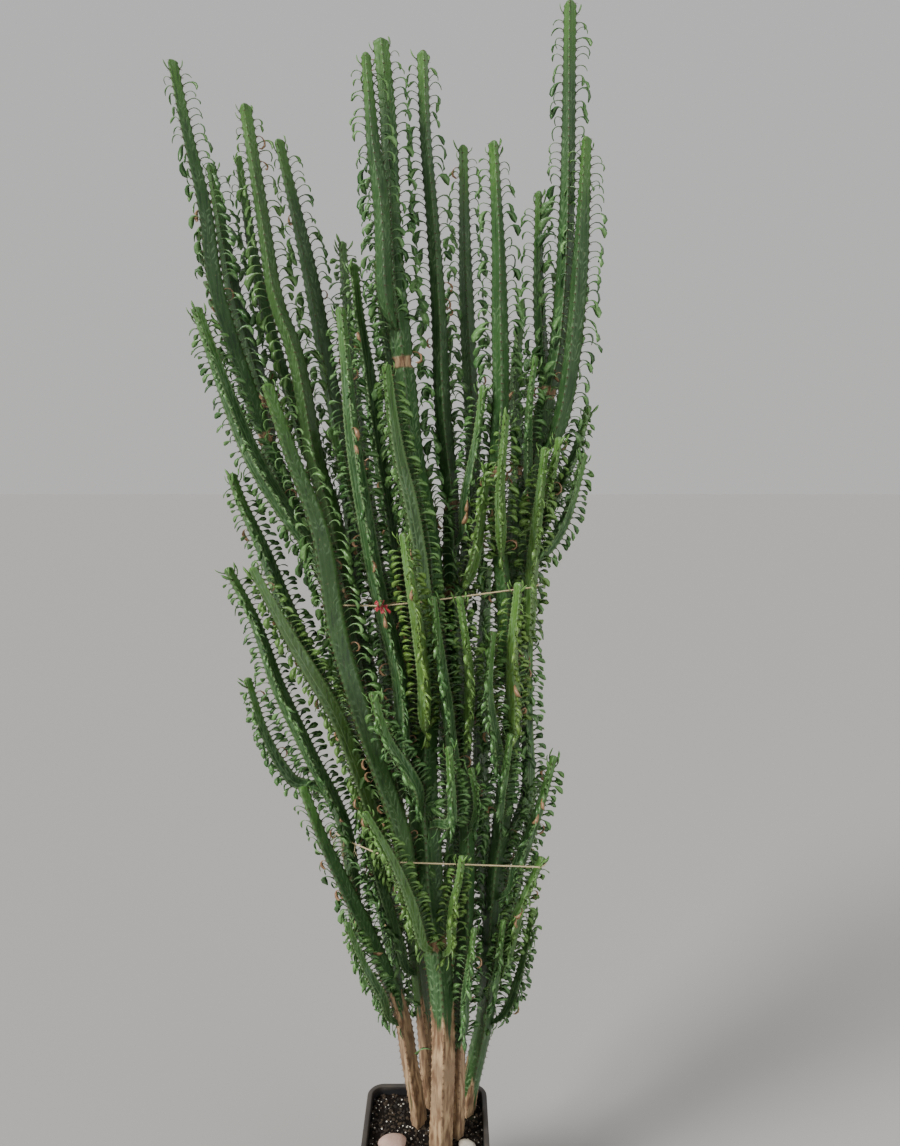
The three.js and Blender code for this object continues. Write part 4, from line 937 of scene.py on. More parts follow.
WAISTS = {"trunk_front": [668, 1752], "top_left_2": [1690], "trunk_middle": [1340, 1500],
          "top_middle_7": [1560], "top_right_4": [1560], "trunk_back_left": [1330],
          "trunk_right": [1210, 1700], "top_left_1": [1620]}
WAIST = {"reach": 13, "depth": 0.26, "dry_reach": 26, "scar_reach": 16}
# How strong the crest's painted highlight and the pale streaks are, on tall and on comb-like stems
RIDGE = {"tall": 0.12, "comb": 0.6}
print("stems with a waist:", len(WAISTS))


# %% Points along a stem
LEAFY = {"neck": 0.7, "more": 0.28, "low": 40, "high": 120, "trunk": 0.08, "trunk_more": 0.87}
DRIED = {"least": 0.015, "old": 0.05, "far": 700, "near": 250, "waist": 0.5}
FORM_REACH = {"tip": 110, "high": 260}
VIGOUR = {"tip": 0.8, "more": 0.25, "reach": 60, "comb": 1.08}
TWIST = {"swing": 0.07, "wave": 130, "start": 200, "step": 1.7}


def near_waist(stem, height, reach):
    nearness = [np.exp(-((height - waist) / reach) ** 2) for waist in WAISTS.get(stem["name"], [])]
    return sum(nearness, 0 * height)


def add_dome(line, ahead, crest, groove, run, bark, ring):
    top, way, last = line[-1], ahead[-1], crest[-1]
    for rise, share in DOME:
        line = np.vstack([line, top + way * DOME_HEIGHT * rise])
        ahead = np.vstack([ahead, way])
        crest = np.append(crest, last * share)
        groove = np.append(groove, groove[-1] + (1 - groove[-1]) * 0.25)
        run = np.append(run, run[-1] + DOME_HEIGHT * 0.25)
        bark = np.append(bark, 0)
        ring = np.append(ring, ring[-1] + 0.5)
    return line, ahead, crest, groove, run, bark, ring


def path_of(stem, order):
    kind = "comb" if "parent" in stem and stem["name"] not in TALL else "tall"
    line = even_points(stem["knots"], TOOTH_STEP[kind] / RINGS_PER_TOOTH)
    run = stem["length"] * np.linspace(0, 1, len(line))
    if "parent" in stem:
        clear = np.linalg.norm(line - line[0], axis=1) > by_name[stem["parent"]]["crest"] * 0.3
        line, run = line[clear], run[clear]
    ahead = ways_along(line)
    if "root" in stem:
        ahead[0] = (0, 0, 1)
    height = line[:, 2]
    crest = stem["crest"] * stoutness(stem, run)
    crest = crest * (1 - WAIST["depth"] * near_waist(stem, height, WAIST["reach"]))
    bark = (1 - ramp(height, BARK["low"], BARK["high"])) * ("root" in stem)
    groove = GROOVE_PER_CREST[stem["ribs"]] * (1 - bark) + BARK["groove"] * bark
    ring = np.arange(len(line), dtype=float)
    line, ahead, crest, groove, run, bark, ring = add_dome(line, ahead, crest, groove, run, bark, ring)
    left = np.maximum(stem["length"] - run, 0)
    height = line[:, 2]
    # Most teeth bear a leaf, except low on a trunk. The dried ones are far from the tip or at a waist
    start = LEAFY_FROM.get(stem["name"], LEAFY_FROM["other"])
    leafy = LEAFY["neck"] + LEAFY["more"] * ramp(run, LEAFY["low"], LEAFY["high"])
    if "root" in stem:
        leafy = LEAFY["trunk"] + LEAFY["trunk_more"] * ramp(height, start, start + LEAFY_FROM["over"])
    below_dome = ring <= ring[-len(DOME) - 1]
    dried = DRIED["least"] + DRIED["old"] * (1 - ramp(left, DRIED["far"], DRIED["near"]))
    dried = dried + DRIED["waist"] * near_waist(stem, height, WAIST["dry_reach"])
    form = np.where(left < FORM_REACH["high"], FIRST_FORM["high"], FIRST_FORM["tall"])
    form = np.where(left < FORM_REACH["tip"], FIRST_FORM["tip"], form)
    vigour = VIGOUR["tip"] + VIGOUR["more"] * ramp(left, 0, VIGOUR["reach"])
    twist = TWIST["swing"] * np.sin(run / TWIST["wave"] + order * TWIST["step"])
    cork_top = CORK_TOPS.get(stem["name"], 0)
    same = np.ones(len(line))
    return line, ahead, {
        "crest": crest * MM, "groove": groove, "run": run * MM, "left": left * MM, "bark": bark,
        "ring": ring, "cork": 1 - ramp(height, cork_top - CORK_FADE, cork_top + CORK_FADE),
        "bare": same * (kind == "tall"), "ridge": same * RIDGE[kind],
        "toothed": (1 - 0.6 * bark) * below_dome,
        "leafy": leafy * below_dome * (bark < 0.5), "dried": dried,
        "form": form if kind == "tall" else same * FIRST_FORM["comb"],
        "vigour": vigour * (VIGOUR["comb"] if kind == "comb" else 1.0),
        "tone": same * TONES.get(stem["name"], 0.0), "scar": near_waist(stem, height, WAIST["scar_reach"]),
        "twist": twist * ramp(run, 0, TWIST["start"])}


print("points along the first stem:", len(path_of(STEMS[0], 0)[0]))


# %% Grow every stem
def finish_piece(obj, slot, *nodes):
    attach(obj, "root")
    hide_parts(*nodes)
    return obj


def grown_piece(name, tree, mesh, values):
    """What a node tree makes of a mesh, as a plain mesh object of its own with no modifier on it."""
    obj = add_object(name + "_line", mesh)
    modifier = obj.modifiers.new(name, "NODES")
    modifier.node_group = tree
    for item in tree.interface.items_tree:
        if item.in_out == "INPUT" and item.name in values:
            modifier[item.identifier] = values[item.name]
    evaluated = obj.evaluated_get(bpy.context.evaluated_depsgraph_get())
    grown = bpy.data.meshes.new_from_object(evaluated)
    grown.name = name
    bpy.data.objects.remove(obj)
    return add_object(name, grown)


def chain_mesh(name, points, ahead, values):
    mesh = new_mesh(name, points, [], [(i, i + 1) for i in range(len(points) - 1)])
    for label, numbers in values.items():
        numbers = np.asarray(numbers, np.float32)
        mesh.attributes.new(label, "FLOAT", "POINT").data.foreach_set("value", numbers)
    for label, vectors in (("centre", points * MM), ("ahead", ahead)):
        vectors = vectors.astype(np.float32).ravel()
        mesh.attributes.new(label, "FLOAT_VECTOR", "POINT").data.foreach_set("vector", vectors)
    return mesh


def grow(stem, order):
    chain = chain_mesh(stem["name"], *path_of(stem, order))
    made = grown_piece(stem["name"] + "_grown", ribbed_stem, chain, {
        "Ribs": stem["ribs"], "Turn": stem["turn"], "Tooth depth": TOOTH_DEPTH * MM, "Leaf size": 1.0,
        "Seed": 100 * order + 7, "Leaf forms": leaf_forms, "Thorns": thorns})
    if "fused" in stem:
        return finish_piece(made, "trunk_green", stem["parent"])
    return finish_piece(made, "trunk_green" if "root" in stem else "branch_green", stem["name"])


grown = [grow(stem, order) for order, stem in enumerate(STEMS)]
print("stems grown:", len(grown), "faces:", sum(len(piece.data.polygons) for piece in grown))

# %% [markdown]
# ## The pot
# A square nursery pot is blown or pressed from thin black plastic. It tapers downwards so that pots
# stack, and its lip is turned out to stiffen it. It is a lofted shell: one outline of a rounded square,
# at many heights.

# %% Rounded squares and lofts
POT = {"rim": 250, "foot": 196, "height": 262, "wall": 3.2, "floor": 4, "corner": 26,
       "lip": 7, "lip_height": 17}
CORNER_STEPS = 7
SIDE_STEPS = 6
QUARTER = math.pi / 2


def rounded_square(side, corner, height):
    reach = side / 2 - corner
    ring = []
    for quarter in range(4):
        start = quarter * QUARTER
        diagonal = start + QUARTER / 2
        x, y = math.copysign(reach, math.cos(diagonal)), math.copysign(reach, math.sin(diagonal))
        middle = np.array([x, y, height])
        for angle in np.linspace(start, start + QUARTER, CORNER_STEPS + 1):
            ring.append(middle + (corner * math.cos(angle), corner * math.sin(angle), 0))
        along = 2 * reach * np.array([-math.sin(start + QUARTER), math.cos(start + QUARTER), 0])
        ring += [ring[-1] + along * k / SIDE_STEPS for k in range(1, SIDE_STEPS)]
    return ring


def loft_mesh(name, rings):
    mesh = new_mesh(name, [point for ring in rings for point in ring], ring_faces(len(rings), len(rings[0])))
    mesh.shade_smooth()
    return mesh


def place_piece(name, mesh, material, slot, node):
    mesh.materials.append(material)
    return finish_piece(add_object(name, mesh), slot, node)


print("points round the rim:", len(rounded_square(POT["rim"], POT["corner"], POT["height"])))


# %% The pot's shell
def pot_side(height):
    return POT["foot"] + (POT["rim"] - 2 * POT["lip"] - POT["foot"]) * height / POT["height"]


def pot_mesh():
    foot, rim, high, wall, corner = (POT[name] for name in ("foot", "rim", "height", "wall", "corner"))
    lip_foot, wide = high - POT["lip_height"], corner + POT["lip"]
    outline = [(foot - 16, corner - 6, 1.2), (foot - 9, corner - 3, 0), (foot - 4, corner, 0.4)]
    outline += [(pot_side(z), corner, z) for z in (2.5, *np.linspace(12, lip_foot - 2, 9), lip_foot)]
    outline += [(rim - 2.4, wide - 1, lip_foot + 0.7), (rim - 0.4, wide, lip_foot + 2.4),
                (rim, wide, lip_foot + 5), (rim, wide, high - 4), (rim - 0.5, wide, high - 1.8),
                (rim - 2, wide - 0.5, high - 0.5), (rim - 4, wide - 1.5, high)]
    inner = pot_side(high) - 2 * wall
    outline += [(inner + 3, corner, high), (inner + 0.6, corner - wall + 1, high - 0.8),
                (inner, corner - wall, high - 3)]
    outline += [(pot_side(z) - 2 * wall, corner - wall, z) for z in (200, 100, POT["floor"] + 3)]
    outline += [(pot_side(POT["floor"]) - 2 * wall - 4, corner - wall - 2, POT["floor"])]
    return loft_mesh("pot", [rounded_square(*size) for size in outline])


def up_share(vector):
    return put(tree_of(vector), "ShaderNodeSeparateXYZ", {0: vector}, 2)


def pot_plastic():
    material, tree, shader = new_material("pot_plastic", Specular_IOR_Level=0.5)
    dust = cloud(tree, 18, 6)
    scuff = smooth(cloud(tree, 46, 6, stretch=(1, 1, 5)), 0.58, 0.72)
    height = up_share(put(tree, "ShaderNodeTexCoord", output="Object"))
    shade = mix(dust, colour(22, 22, 25), colour(38, 38, 40))
    shade = mix(scuff * 0.4, shade, colour(78, 76, 72))
    shade = mix(smooth(height + dust * 0.02, 0.262, 0.275) * 0.5, shade, colour(92, 84, 74))
    feed(shader, "Base Color", shade)
    feed(shader, "Roughness", dust * 0.35 + 0.38)
    bump(shader, cloud(tree, 700, 2), 0.12, 0.0006)
    return material


pot = place_piece("pot_shell", pot_mesh(), pot_plastic(), "pot_plastic", "pot")
print("pot faces:", len(pot.data.polygons))

# %% [markdown]
# ## The potting soil
# The soil is a dark crumbly mix with white perlite grains, brown bark chips and a little moss. The body
# is a loft with an uneven top, and the grains are scattered over it by Geometry Nodes with a fixed
# seed.

# %% The soil's body
SEAT_GAP = 0.3
SOIL_RINGS = 34
SOIL_EDGE_DROP = 3
SOIL_HEART = 0.005


def soil_spot(x, y):
    spot = Vector((x, y, 0))
    rise = 2.6 * noise.fractal(spot * 0.035, 1.0, 2.0, 5) + noise.noise(spot * 0.22)
    return np.array([x, y, SOIL_TOP + rise])


def soil_mesh():
    corner = POT["corner"] - POT["wall"]
    foot, edge = (rounded_square(pot_side(z) - 2 * POT["wall"] - 2 * SEAT_GAP, corner, z)
                  for z in (POT["floor"] + SEAT_GAP, SOIL_TOP - SOIL_EDGE_DROP))
    rings = [foot, edge]
    for k in range(SOIL_RINGS):
        share = (1 - SOIL_HEART) * (1 - k / SOIL_RINGS) + SOIL_HEART
        rings.append([soil_spot(x * share, y * share) for x, y, _ in edge])
    return loft_mesh("soil", rings)


def ball_mesh(name, level, placed):
    """A ball of half a unit whose points are moved to where placed says."""
    shape = bmesh.new()
    bmesh.ops.create_icosphere(shape, subdivisions=level, radius=0.5)
    for vert in shape.verts:
        vert.co = placed(vert.co)
    mesh = bpy.data.meshes.new(name)
    shape.to_mesh(mesh)
    shape.free()
    return mesh


def grain_form(name, seed):
    draw = random.Random(seed)

    def placed(spot):
        spot = spot * (1 + draw.uniform(-0.22, 0.22))
        return Vector((spot.x, spot.y, spot.z * 0.75))

    return bpy.data.objects.new(name, ball_mesh(name, 1, placed))


print("soil's top in the middle:", round(float(soil_spot(0, 0)[2]), 1), "mm")


# %% Soil finishes
def soil_skin():
    material, tree, shader = new_material("soil_skin", Roughness=0.95, Specular_IOR_Level=0.2)
    shade = mix(cloud(tree, 70, 6), colour(9, 8, 7), colour(34, 27, 22))
    moss = smooth(cloud(tree, 12, 4), 0.55, 0.66) * 0.5
    feed(shader, "Base Color", mix(moss, shade, colour(40, 46, 22)))
    bump(shader, cloud(tree, 380, 6), 0.9, 0.003)
    return material


def grain_skin(name, dark, light, roughness):
    material, tree, shader = new_material(name, Roughness=roughness)
    shade = mix(stored(tree, "tint"), dark, light)
    feed(shader, "Base Color", mix(cloud(tree, 500) * 0.4, shade, dark))
    bump(shader, cloud(tree, 900), 0.4, 0.0006)
    return material


soil_material = soil_skin()
perlite_material = grain_skin("perlite_skin", colour(172, 166, 154), colour(232, 228, 218), 0.9)
gravel_material = grain_skin("gravel_skin", colour(20, 16, 12), colour(74, 60, 42), 0.85)
print("finishes:", soil_material.name, perlite_material.name, gravel_material.name)


# %% Scatter the grains
PERLITE = {"low": 0.0022, "high": 0.0052}
GRAVEL = {"low": 0.003, "high": 0.009}


def grains(ground, forms, density, size, seed, material):
    tree = tree_of(ground)
    level = up_share(put(tree, "GeometryNodeInputNormal")) > 0.5
    spread = put(tree, "GeometryNodeDistributePointsOnFaces",
                 {"Mesh": ground, "Selection": level, "Density": density, "Seed": seed})
    spin = rotation_of(chance(-0.5, 0.5, seed), chance(-0.5, 0.5, seed + 1), chance(0.0, 6.3, seed + 2))
    drawn = put(tree, "GeometryNodeInstanceOnPoints", {
        "Points": spread, "Instance": children(forms), "Pick Instance": True, "Rotation": spin,
        "Scale": chance(size["low"], size["high"], seed + 3)})
    return shown(keep(drawn, "tint", chance(0.0, 1.0, seed + 4), "INSTANCE"), material)


def soil_tree():
    tree, given = new_tree("Soil with grains", {
        "Grain forms": "Collection", "Perlite density": "Float", "Gravel density": "Float", "Seed": "Int"})
    ground, forms, seed = painted(given["Geometry"], soil_material), given["Grain forms"], given["Seed"]
    white = grains(ground, forms, given["Perlite density"], PERLITE, seed, perlite_material)
    brown = grains(ground, forms, given["Gravel density"], GRAVEL, seed + 20, gravel_material)
    put(tree, "NodeGroupOutput", {"Geometry": joined(ground, white, brown)})
    return tree


grain_forms = bpy.data.collections.new("grain forms")
for seed in range(4):
    grain_forms.objects.link(grain_form(f"grain_{seed}", 60 + seed))
soil = grown_piece("soil_bed", soil_tree(), soil_mesh(), {
    "Grain forms": grain_forms, "Perlite density": 5000.0, "Gravel density": 15000.0, "Seed": 5})
finish_piece(soil, "potting_soil", "soil")
print("soil faces:", len(soil.data.polygons))

# %% [markdown]
# ## The two stones
# Two weathered pebbles lie on the soil. Each is a sphere pushed in and out by slow waves, then
# flattened below where it rests, with finer pits from noise.

# %% The stones
STONES = [
    {"name": "stone_pink", "at": (-64, -32), "size": (58, 42, 30), "turn": 12,
     "light": (214, 186, 170), "dark": (150, 118, 104), "vein": (186, 168, 158)},
    {"name": "stone_pale", "at": (81, -34), "size": (36, 26, 20), "turn": -20,
     "light": (206, 198, 182), "dark": (136, 128, 114), "vein": (176, 164, 146)},
]
STONE_FLAT = -0.34


def stone_mesh(stone):
    turn = Matrix.Rotation(math.radians(stone["turn"]), 3, "Z")
    wide, deep, high = stone["size"]
    foot = Vector((*stone["at"], SOIL_TOP + SEAT_GAP - STONE_FLAT * high))

    def placed(spot):
        x, y, z = spot
        wave = 1 + 0.09 * math.sin(5 * x + 2) * math.cos(4 * y) + 0.06 * math.sin(7 * y + 3 * z)
        wave += 0.03 * noise.fractal(spot * 5, 1.0, 2.0, 4)
        spot = Vector((x * wave * wide, y * wave * deep, max(z * wave, STONE_FLAT) * high))
        return (turn @ spot + foot) * MM

    mesh = ball_mesh(stone["name"], 4, placed)
    mesh.shade_smooth()
    return mesh


def stone_skin(stone):
    light, dark, vein = (colour(*stone[name]) for name in ("light", "dark", "vein"))
    material, tree, shader = new_material(stone["name"] + "_skin", Roughness=0.8)
    shade = mix(cloud(tree, 40, 6), dark, light)
    feed(shader, "Base Color", mix(smooth(cloud(tree, 90, 5), 0.55, 0.7) * 0.6, shade, vein))
    bump(shader, cloud(tree, 260, 6), 0.5, 0.0015)
    return material


for stone in STONES:
    place_piece(stone["name"] + "_weathered", stone_mesh(stone), stone_skin(stone), "pebble", stone["name"])
print("stones:", len(STONES))

# %% [markdown]
# ## The twine ties
# Two loops of sisal twine pull the bundle together. Each lies round the outermost crests of the stems
# that it ties, which is the convex outline of those crests in a sloping plane. The loop is one
# three-strand cord: a lobed section that turns as it runs, with loose fibres on it, a knot, and two
# frayed tails.

# %% The outline round the tied crests
TWINE = {"radius": 1.5, "gap": 0.5, "bend": 0.8, "knot": 4, "tail": 26}
TIES = [
    {"name": "twine_upper", "height": 1334, "slope": 0.1, "knot_near": (170, 120), "falls": (4, 9),
     "frays": 0, "loose": {"low_left_2", "low_left_4", "low_left_5", "top_left_6", "mid_middle_2",
                           "mid_middle_4", "mid_middle_5", "mid_middle_6", "mid_right_6"}},
    {"name": "twine_lower", "height": 845, "slope": -0.117, "knot_near": (-170, 10), "falls": (3, 10),
     "frays": 16, "loose": {"trunk_left", "low_middle_3", "low_middle_5", "low_right_1", "low_right_5"}},
]
RING_STEP = 66
TOOTH_NOTCH = 2.2
UP = np.array([0.0, 0.0, 1.0])


def solid_crests(stem):
    """The crest lines of a stem as the frame's solid has them, one for each rib."""
    line = even_points(stem["knots"], RING_STEP)
    last = len(line) - 1
    crests = [[] for _ in range(stem["ribs"])]
    for level, centre in enumerate(line):
        ahead = line[min(level + 1, last)] - line[max(level - 1, 0)]
        ahead = Vector(UP) if "root" in stem and level == 0 else Vector(ahead).normalized()
        crest = stem["crest"] * float(stoutness(stem, stem["length"] * level / last))
        bark = 1 - float(ramp(centre[2], BARK["low"], BARK["high"])) if "root" in stem else 0
        groove = crest * (GROOVE_PER_CREST[stem["ribs"]] * (1 - bark) + BARK["groove"] * bark)
        for rib in range(stem["ribs"]):
            tooth = level == last or (level < last - 1 and (level + rib) % 2 == 0)
            angle = stem["turn"] + rib * FULL_TURN / stem["ribs"]
            spoke = Vector(UP).rotation_difference(ahead) @ Vector((math.cos(angle), math.sin(angle), 0))
            crests[rib].append(centre + np.array(spoke) * max(crest - (0 if tooth else TOOTH_NOTCH), groove))
    return crests


def crests_at(stem, tie):
    found = []
    for crest in solid_crests(stem):
        above = [point[2] - tie["height"] - tie["slope"] * point[0] for point in crest]
        for i in range(1, len(crest)):
            if above[i - 1] <= 0 < above[i]:
                share = -above[i - 1] / (above[i] - above[i - 1])
                found.append(crest[i - 1] + (crest[i] - crest[i - 1]) * share)
                break
    return found


def half_hull(ordered):
    chain = []
    for p in ordered:
        while len(chain) > 1 and ((chain[-1][0] - chain[-2][0]) * (p[1] - chain[-2][1])
                                  - (chain[-1][1] - chain[-2][1]) * (p[0] - chain[-2][0])) <= 0:
            chain.pop()
        chain.append(p)
    return chain[:-1]


def twine_line(tie):
    tied = [stem for stem in STEMS if stem["name"] not in tie["loose"]]
    ordered = sorted((point for stem in tied for point in crests_at(stem, tie)), key=lambda p: (p[0], p[1]))
    hull = half_hull(ordered) + half_hull(ordered[::-1])
    stand = TWINE["radius"] + TWINE["gap"]
    line = []
    for i, point in enumerate(hull):
        before, after = hull[i - 1], hull[(i + 1) % len(hull)]
        start = math.atan2(before[0] - point[0], point[1] - before[1])
        end = math.atan2(point[0] - after[0], after[1] - point[1])
        end += FULL_TURN * (end < start)
        steps = math.ceil((end - start) / TWINE["bend"])
        for k in range(steps):
            angle = start + (end - start) * (k + 0.5) / steps
            x, y = point[0] + stand * math.cos(angle), point[1] + stand * math.sin(angle)
            line.append(np.array([x, y, tie["height"] + tie["slope"] * x]))
    return line


def loop_length(line):
    return sum(np.linalg.norm(line[i] - line[i - 1]) for i in range(len(line)))


lines = {tie["name"]: twine_line(tie) for tie in TIES}
print("loops:", {name: round(loop_length(line)) for name, line in lines.items()}, "mm")


# %% The finish of the twine
def twine_skin():
    material, tree, shader = new_material("twine_skin", Roughness=0.9, Specular_IOR_Level=0.2)
    fine = cloud(tree, 1400, 4, stretch=(1, 1, 0.4))
    shade = mix(fine, colour(196, 176, 130), colour(240, 224, 184))
    # Painted shade darkens the grooves between the strands
    groove_shade = smooth(stored(tree, "strand"), -0.2, -1.0) * 0.75
    feed(shader, "Base Color", mix(groove_shade, shade, colour(86, 68, 44)))
    bump(shader, fine, 0.7, 0.0008)
    return material


twine_material = twine_skin()
print("finish:", twine_material.name)

# %% The twisted cord as a node tree
STRANDS = 3
CORD_SIDES = 12
FUZZ_SHARE = 0.035


def fuzz_on(skin, given):
    tree, seed = tree_of(skin), given["Seed"]
    out = {"Vector": put(tree, "GeometryNodeInputNormal")}
    out = put(tree, "FunctionNodeAlignRotationToVector", out, axis="X")
    out = turned(out, chance(0.0, 6.3, seed + 1), chance(-1.3, 1.3, seed + 2), 0.0)
    fibre = put(tree, "GeometryNodeObjectInfo", {"Object": given["Fibre"]}, "Geometry")
    return put(tree, "GeometryNodeInstanceOnPoints", {
        "Points": skin, "Selection": chance(0.0, 1.0, seed) < FUZZ_SHARE, "Instance": fibre, "Rotation": out,
        "Scale": chance(0.4, 1.0, seed + 3)})


def cord_tree():
    tree, given = new_tree("Twisted cord", {
        "Radius": "Float", "Turns": "Float", "Fibre": "Object", "Seed": "Int"})
    swept = sweep(tree, given["Geometry"], CORD_SIDES)
    angle = named(tree, "around") * FULL_TURN
    lobe = calc("COSINE", angle * STRANDS - named(tree, "run") * given["Turns"])
    reach = (lobe * 0.14 + 0.88) * given["Radius"] * named(tree, "stout")
    skin, _ = set_out(keep(swept, "strand", lobe), reach, angle)
    skin = painted(skin, twine_material)
    put(tree, "NodeGroupOutput", {"Geometry": joined(skin, shown(fuzz_on(skin, given), twine_material))})
    return tree


twisted_cord = cord_tree()
print("tree:", twisted_cord.name, len(twisted_cord.nodes), "nodes")

# %% The paths of loop, knot, tail and curl
CORD_STEP = 1.3
LOOP_STEP = 12
KNOT = {"size": 3.4, "points": 24, "deep": 0.33}
FRAY = {"spread": 70, "fall": (18, 62), "swing": (-9, 9), "wave": (2, 6), "start": (0, 6)}


def nearest(line, near):
    return min(range(len(line)), key=lambda i: math.hypot(line[i][0] - near[0], line[i][1] - near[1]))


def spot_near(line, near):
    index = nearest(line, near)
    out = np.cross(line[(index + 1) % len(line)] - line[index - 1], UP)
    return line[index].copy(), out / np.linalg.norm(out)


def loop_points(line, near):
    """The loop's corner points, opened at the knot, with points added in each long straight stretch."""
    index = nearest(line, near)
    ordered = line[index:] + line[:index + 1]
    points = [ordered[0]]
    for a, b in zip(ordered, ordered[1:]):
        parts = max(1, int(np.linalg.norm(b - a) / LOOP_STEP))
        points += [a + (b - a) * k / parts for k in range(1, parts + 1)]
    return points


def knot_points(centre, out):
    """A trefoil, which is what an overhand knot looks like from in front."""
    side, size = np.cross(UP, out), KNOT["size"]
    points = []
    for t in np.linspace(0, FULL_TURN, KNOT["points"] + 1):
        x = (math.sin(t) + 2 * math.sin(2 * t)) / 3
        z = (math.cos(t) - 2 * math.cos(2 * t)) / 3
        points.append(centre + (side * x + UP * z - out * math.sin(3 * t) * KNOT["deep"]) * size)
    return points


def tail_points(centre, out, fall, lean):
    side = np.cross(UP, out)
    return [centre + out * fall * math.sin(s * 1.6) + side * lean * s - UP * TWINE["tail"] * s ** 1.15
            for s in np.linspace(0, 1, 7)]


def curl_points(line, near, out, draw):
    """A strand that hangs in a loose curl from a spot within a hand's width of the knot."""
    reach = FRAY["spread"]
    foot = draw.choice([p for p in loop_points(line, near)
                        if math.hypot(p[0] - near[0], p[1] - near[1]) < reach])
    side = np.cross(UP, out)
    fall, swing, wave, start = (draw.uniform(*FRAY[name]) for name in ("fall", "swing", "wave", "start"))
    return [foot + out * (2 + 5 * math.sin(2.2 * s)) - UP * fall * s
            + side * (swing * s + wave * math.sin(5 * s + start) * s) for s in np.linspace(0, 1, 9)]


for tie in TIES:
    print(tie["name"], "points:", len(loop_points(lines[tie["name"]], tie["knot_near"])))


# %% One tie from its cords
PITCH_OF_LAY = 4.2
STRANDS_PER_TAIL = 9
FIBRE_WIDE = 0.09


def fibre_mesh():
    wide, slim = FIBRE_WIDE, FIBRE_WIDE * 0.6
    points = [(0, wide, 0), (0, -wide, 0), (0, 0, wide), (2.4, slim, 0.5), (2.4, -slim, 0.5), (4.2, 0, 1.5)]
    return new_mesh("fibre", points, [(0, 2, 5, 3), (2, 1, 4, 5), (1, 0, 3, 4), (0, 1, 2), (3, 5, 4)])


fibre = bpy.data.objects.new("fibre", fibre_mesh())


def cord_piece(points, seed, stout=1.0, fray=0.0, step=CORD_STEP):
    line = even_points([np.array(point, float) for point in points], step)
    share = np.linspace(0, 1, len(line))
    values = {"run": share * len(line) * step * MM, "stout": stout * (1 - fray * share ** 3)}
    return grown_piece("cord", twisted_cord, chain_mesh("cord", line, ways_along(line), values), {
        "Radius": TWINE["radius"] * MM, "Turns": FULL_TURN / (PITCH_OF_LAY * MM), "Fibre": fibre,
        "Seed": seed})


def join_pieces(name, parts):
    """One piece from several cords. They share a finish, so every face goes to the first slot."""
    mesh = bpy.data.meshes.new(name)
    whole = bmesh.new()
    for part in parts:
        whole.from_mesh(part.data)
        bpy.data.objects.remove(part)
    for face in whole.faces:
        face.material_index = 0
    whole.to_mesh(mesh)
    whole.free()
    mesh.materials.append(twine_material)
    return add_object(name, mesh)


def tail_cords(tail, seed, draw):
    """A cut end of twine and the strands that its end opens into."""
    cords = [cord_piece(tail, seed + 2, 0.8, 0.35)]
    end = tail[-1]
    for _ in range(STRANDS_PER_TAIL):
        away = np.array([draw.uniform(-1, 1), draw.uniform(-1, 1), draw.uniform(-2.2, -0.6)]) * 4
        strand = [end + UP * 3, end, end + away * 0.5, end + away * (1.0, 1.0, 1.2)]
        cords.append(cord_piece(strand, seed + 3, 0.16, 0.6, 1.6))
    return cords


def tie_piece(tie, seed):
    line, near = lines[tie["name"]], tie["knot_near"]
    spot, out = spot_near(line, near)
    centre = spot + out * (TWINE["knot"] - TWINE["radius"])
    draw = random.Random(seed)
    parts = [cord_piece(loop_points(line, near), seed),
             cord_piece(knot_points(centre, out), seed + 1, 0.85, 0, 0.8)]
    for fall, lean in zip(tie["falls"], (-3, 6)):
        parts += tail_cords(tail_points(centre, out, fall, lean), seed, draw)
    for _ in range(tie["frays"]):
        parts.append(cord_piece(curl_points(line, near, out, draw), seed + 4, 0.26, 0.4, 1.8))
    return finish_piece(join_pieces(tie["name"] + "_cord", parts), "twine", tie["name"])


ties = [tie_piece(tie, 300 + 10 * i) for i, tie in enumerate(TIES)]
print("ties:", [len(piece.data.polygons) for piece in ties], "faces")

# %% [markdown]
# ## The ribbon rosette
# On the upper tie sits a small rosette of red satin ribbon, as on a gift. Each of its five loops is one
# strip that runs out from the heart, turns over and comes back, and the heart is a tight roll of the
# same ribbon.

# %% A strip of ribbon
ROSETTE = {"near": (-80, -66), "petals": 5, "reach": 10.5, "wide": 8, "heart": 4.2, "rolls": 3.2,
           "thick": 0.35}
ACROSS = (-1, -0.5, 0, 0.5, 1)
RIBBON_SECTION = [(a, -1) for a in ACROSS] + [(a, 1) for a in reversed(ACROSS)]


def strip(path, across, widths):
    """A ribbon: a thin closed strip along a path, bowed a little, with its width along across."""
    spots = []
    for spot, ahead, way, wide in zip(path, np.gradient(np.array(path), axis=0), across, widths):
        way = way / np.linalg.norm(way)
        lift = np.cross(ahead, way)
        lift /= max(np.linalg.norm(lift), 1e-6)
        for a, b in RIBBON_SECTION:
            spots.append(spot + way * a * wide / 2 + lift * (b * ROSETTE["thick"] / 2 + (1 - a * a) * 0.5))
    return spots, ring_faces(len(path), len(RIBBON_SECTION))


def petal_strip(centre, out, radial, petal):
    across = np.cross(out, radial)
    shares = np.linspace(0, 1, 15)
    path = [centre + radial * (2 + ROSETTE["reach"] * math.sin(math.pi * s) ** 0.8)
            + out * (-1.5 + 5.5 * (1 - math.cos(math.pi * s)) * 0.5 + 1.6 * math.sin(FULL_TURN * s))
            for s in shares]
    widths = [ROSETTE["wide"] * (0.45 + 0.55 * math.sin(math.pi * s) ** 0.6) for s in shares]
    return strip(path, [across + out * 0.15 * math.sin(6 * s + petal) for s in shares], widths)


print("corners of the ribbon's section:", len(RIBBON_SECTION))


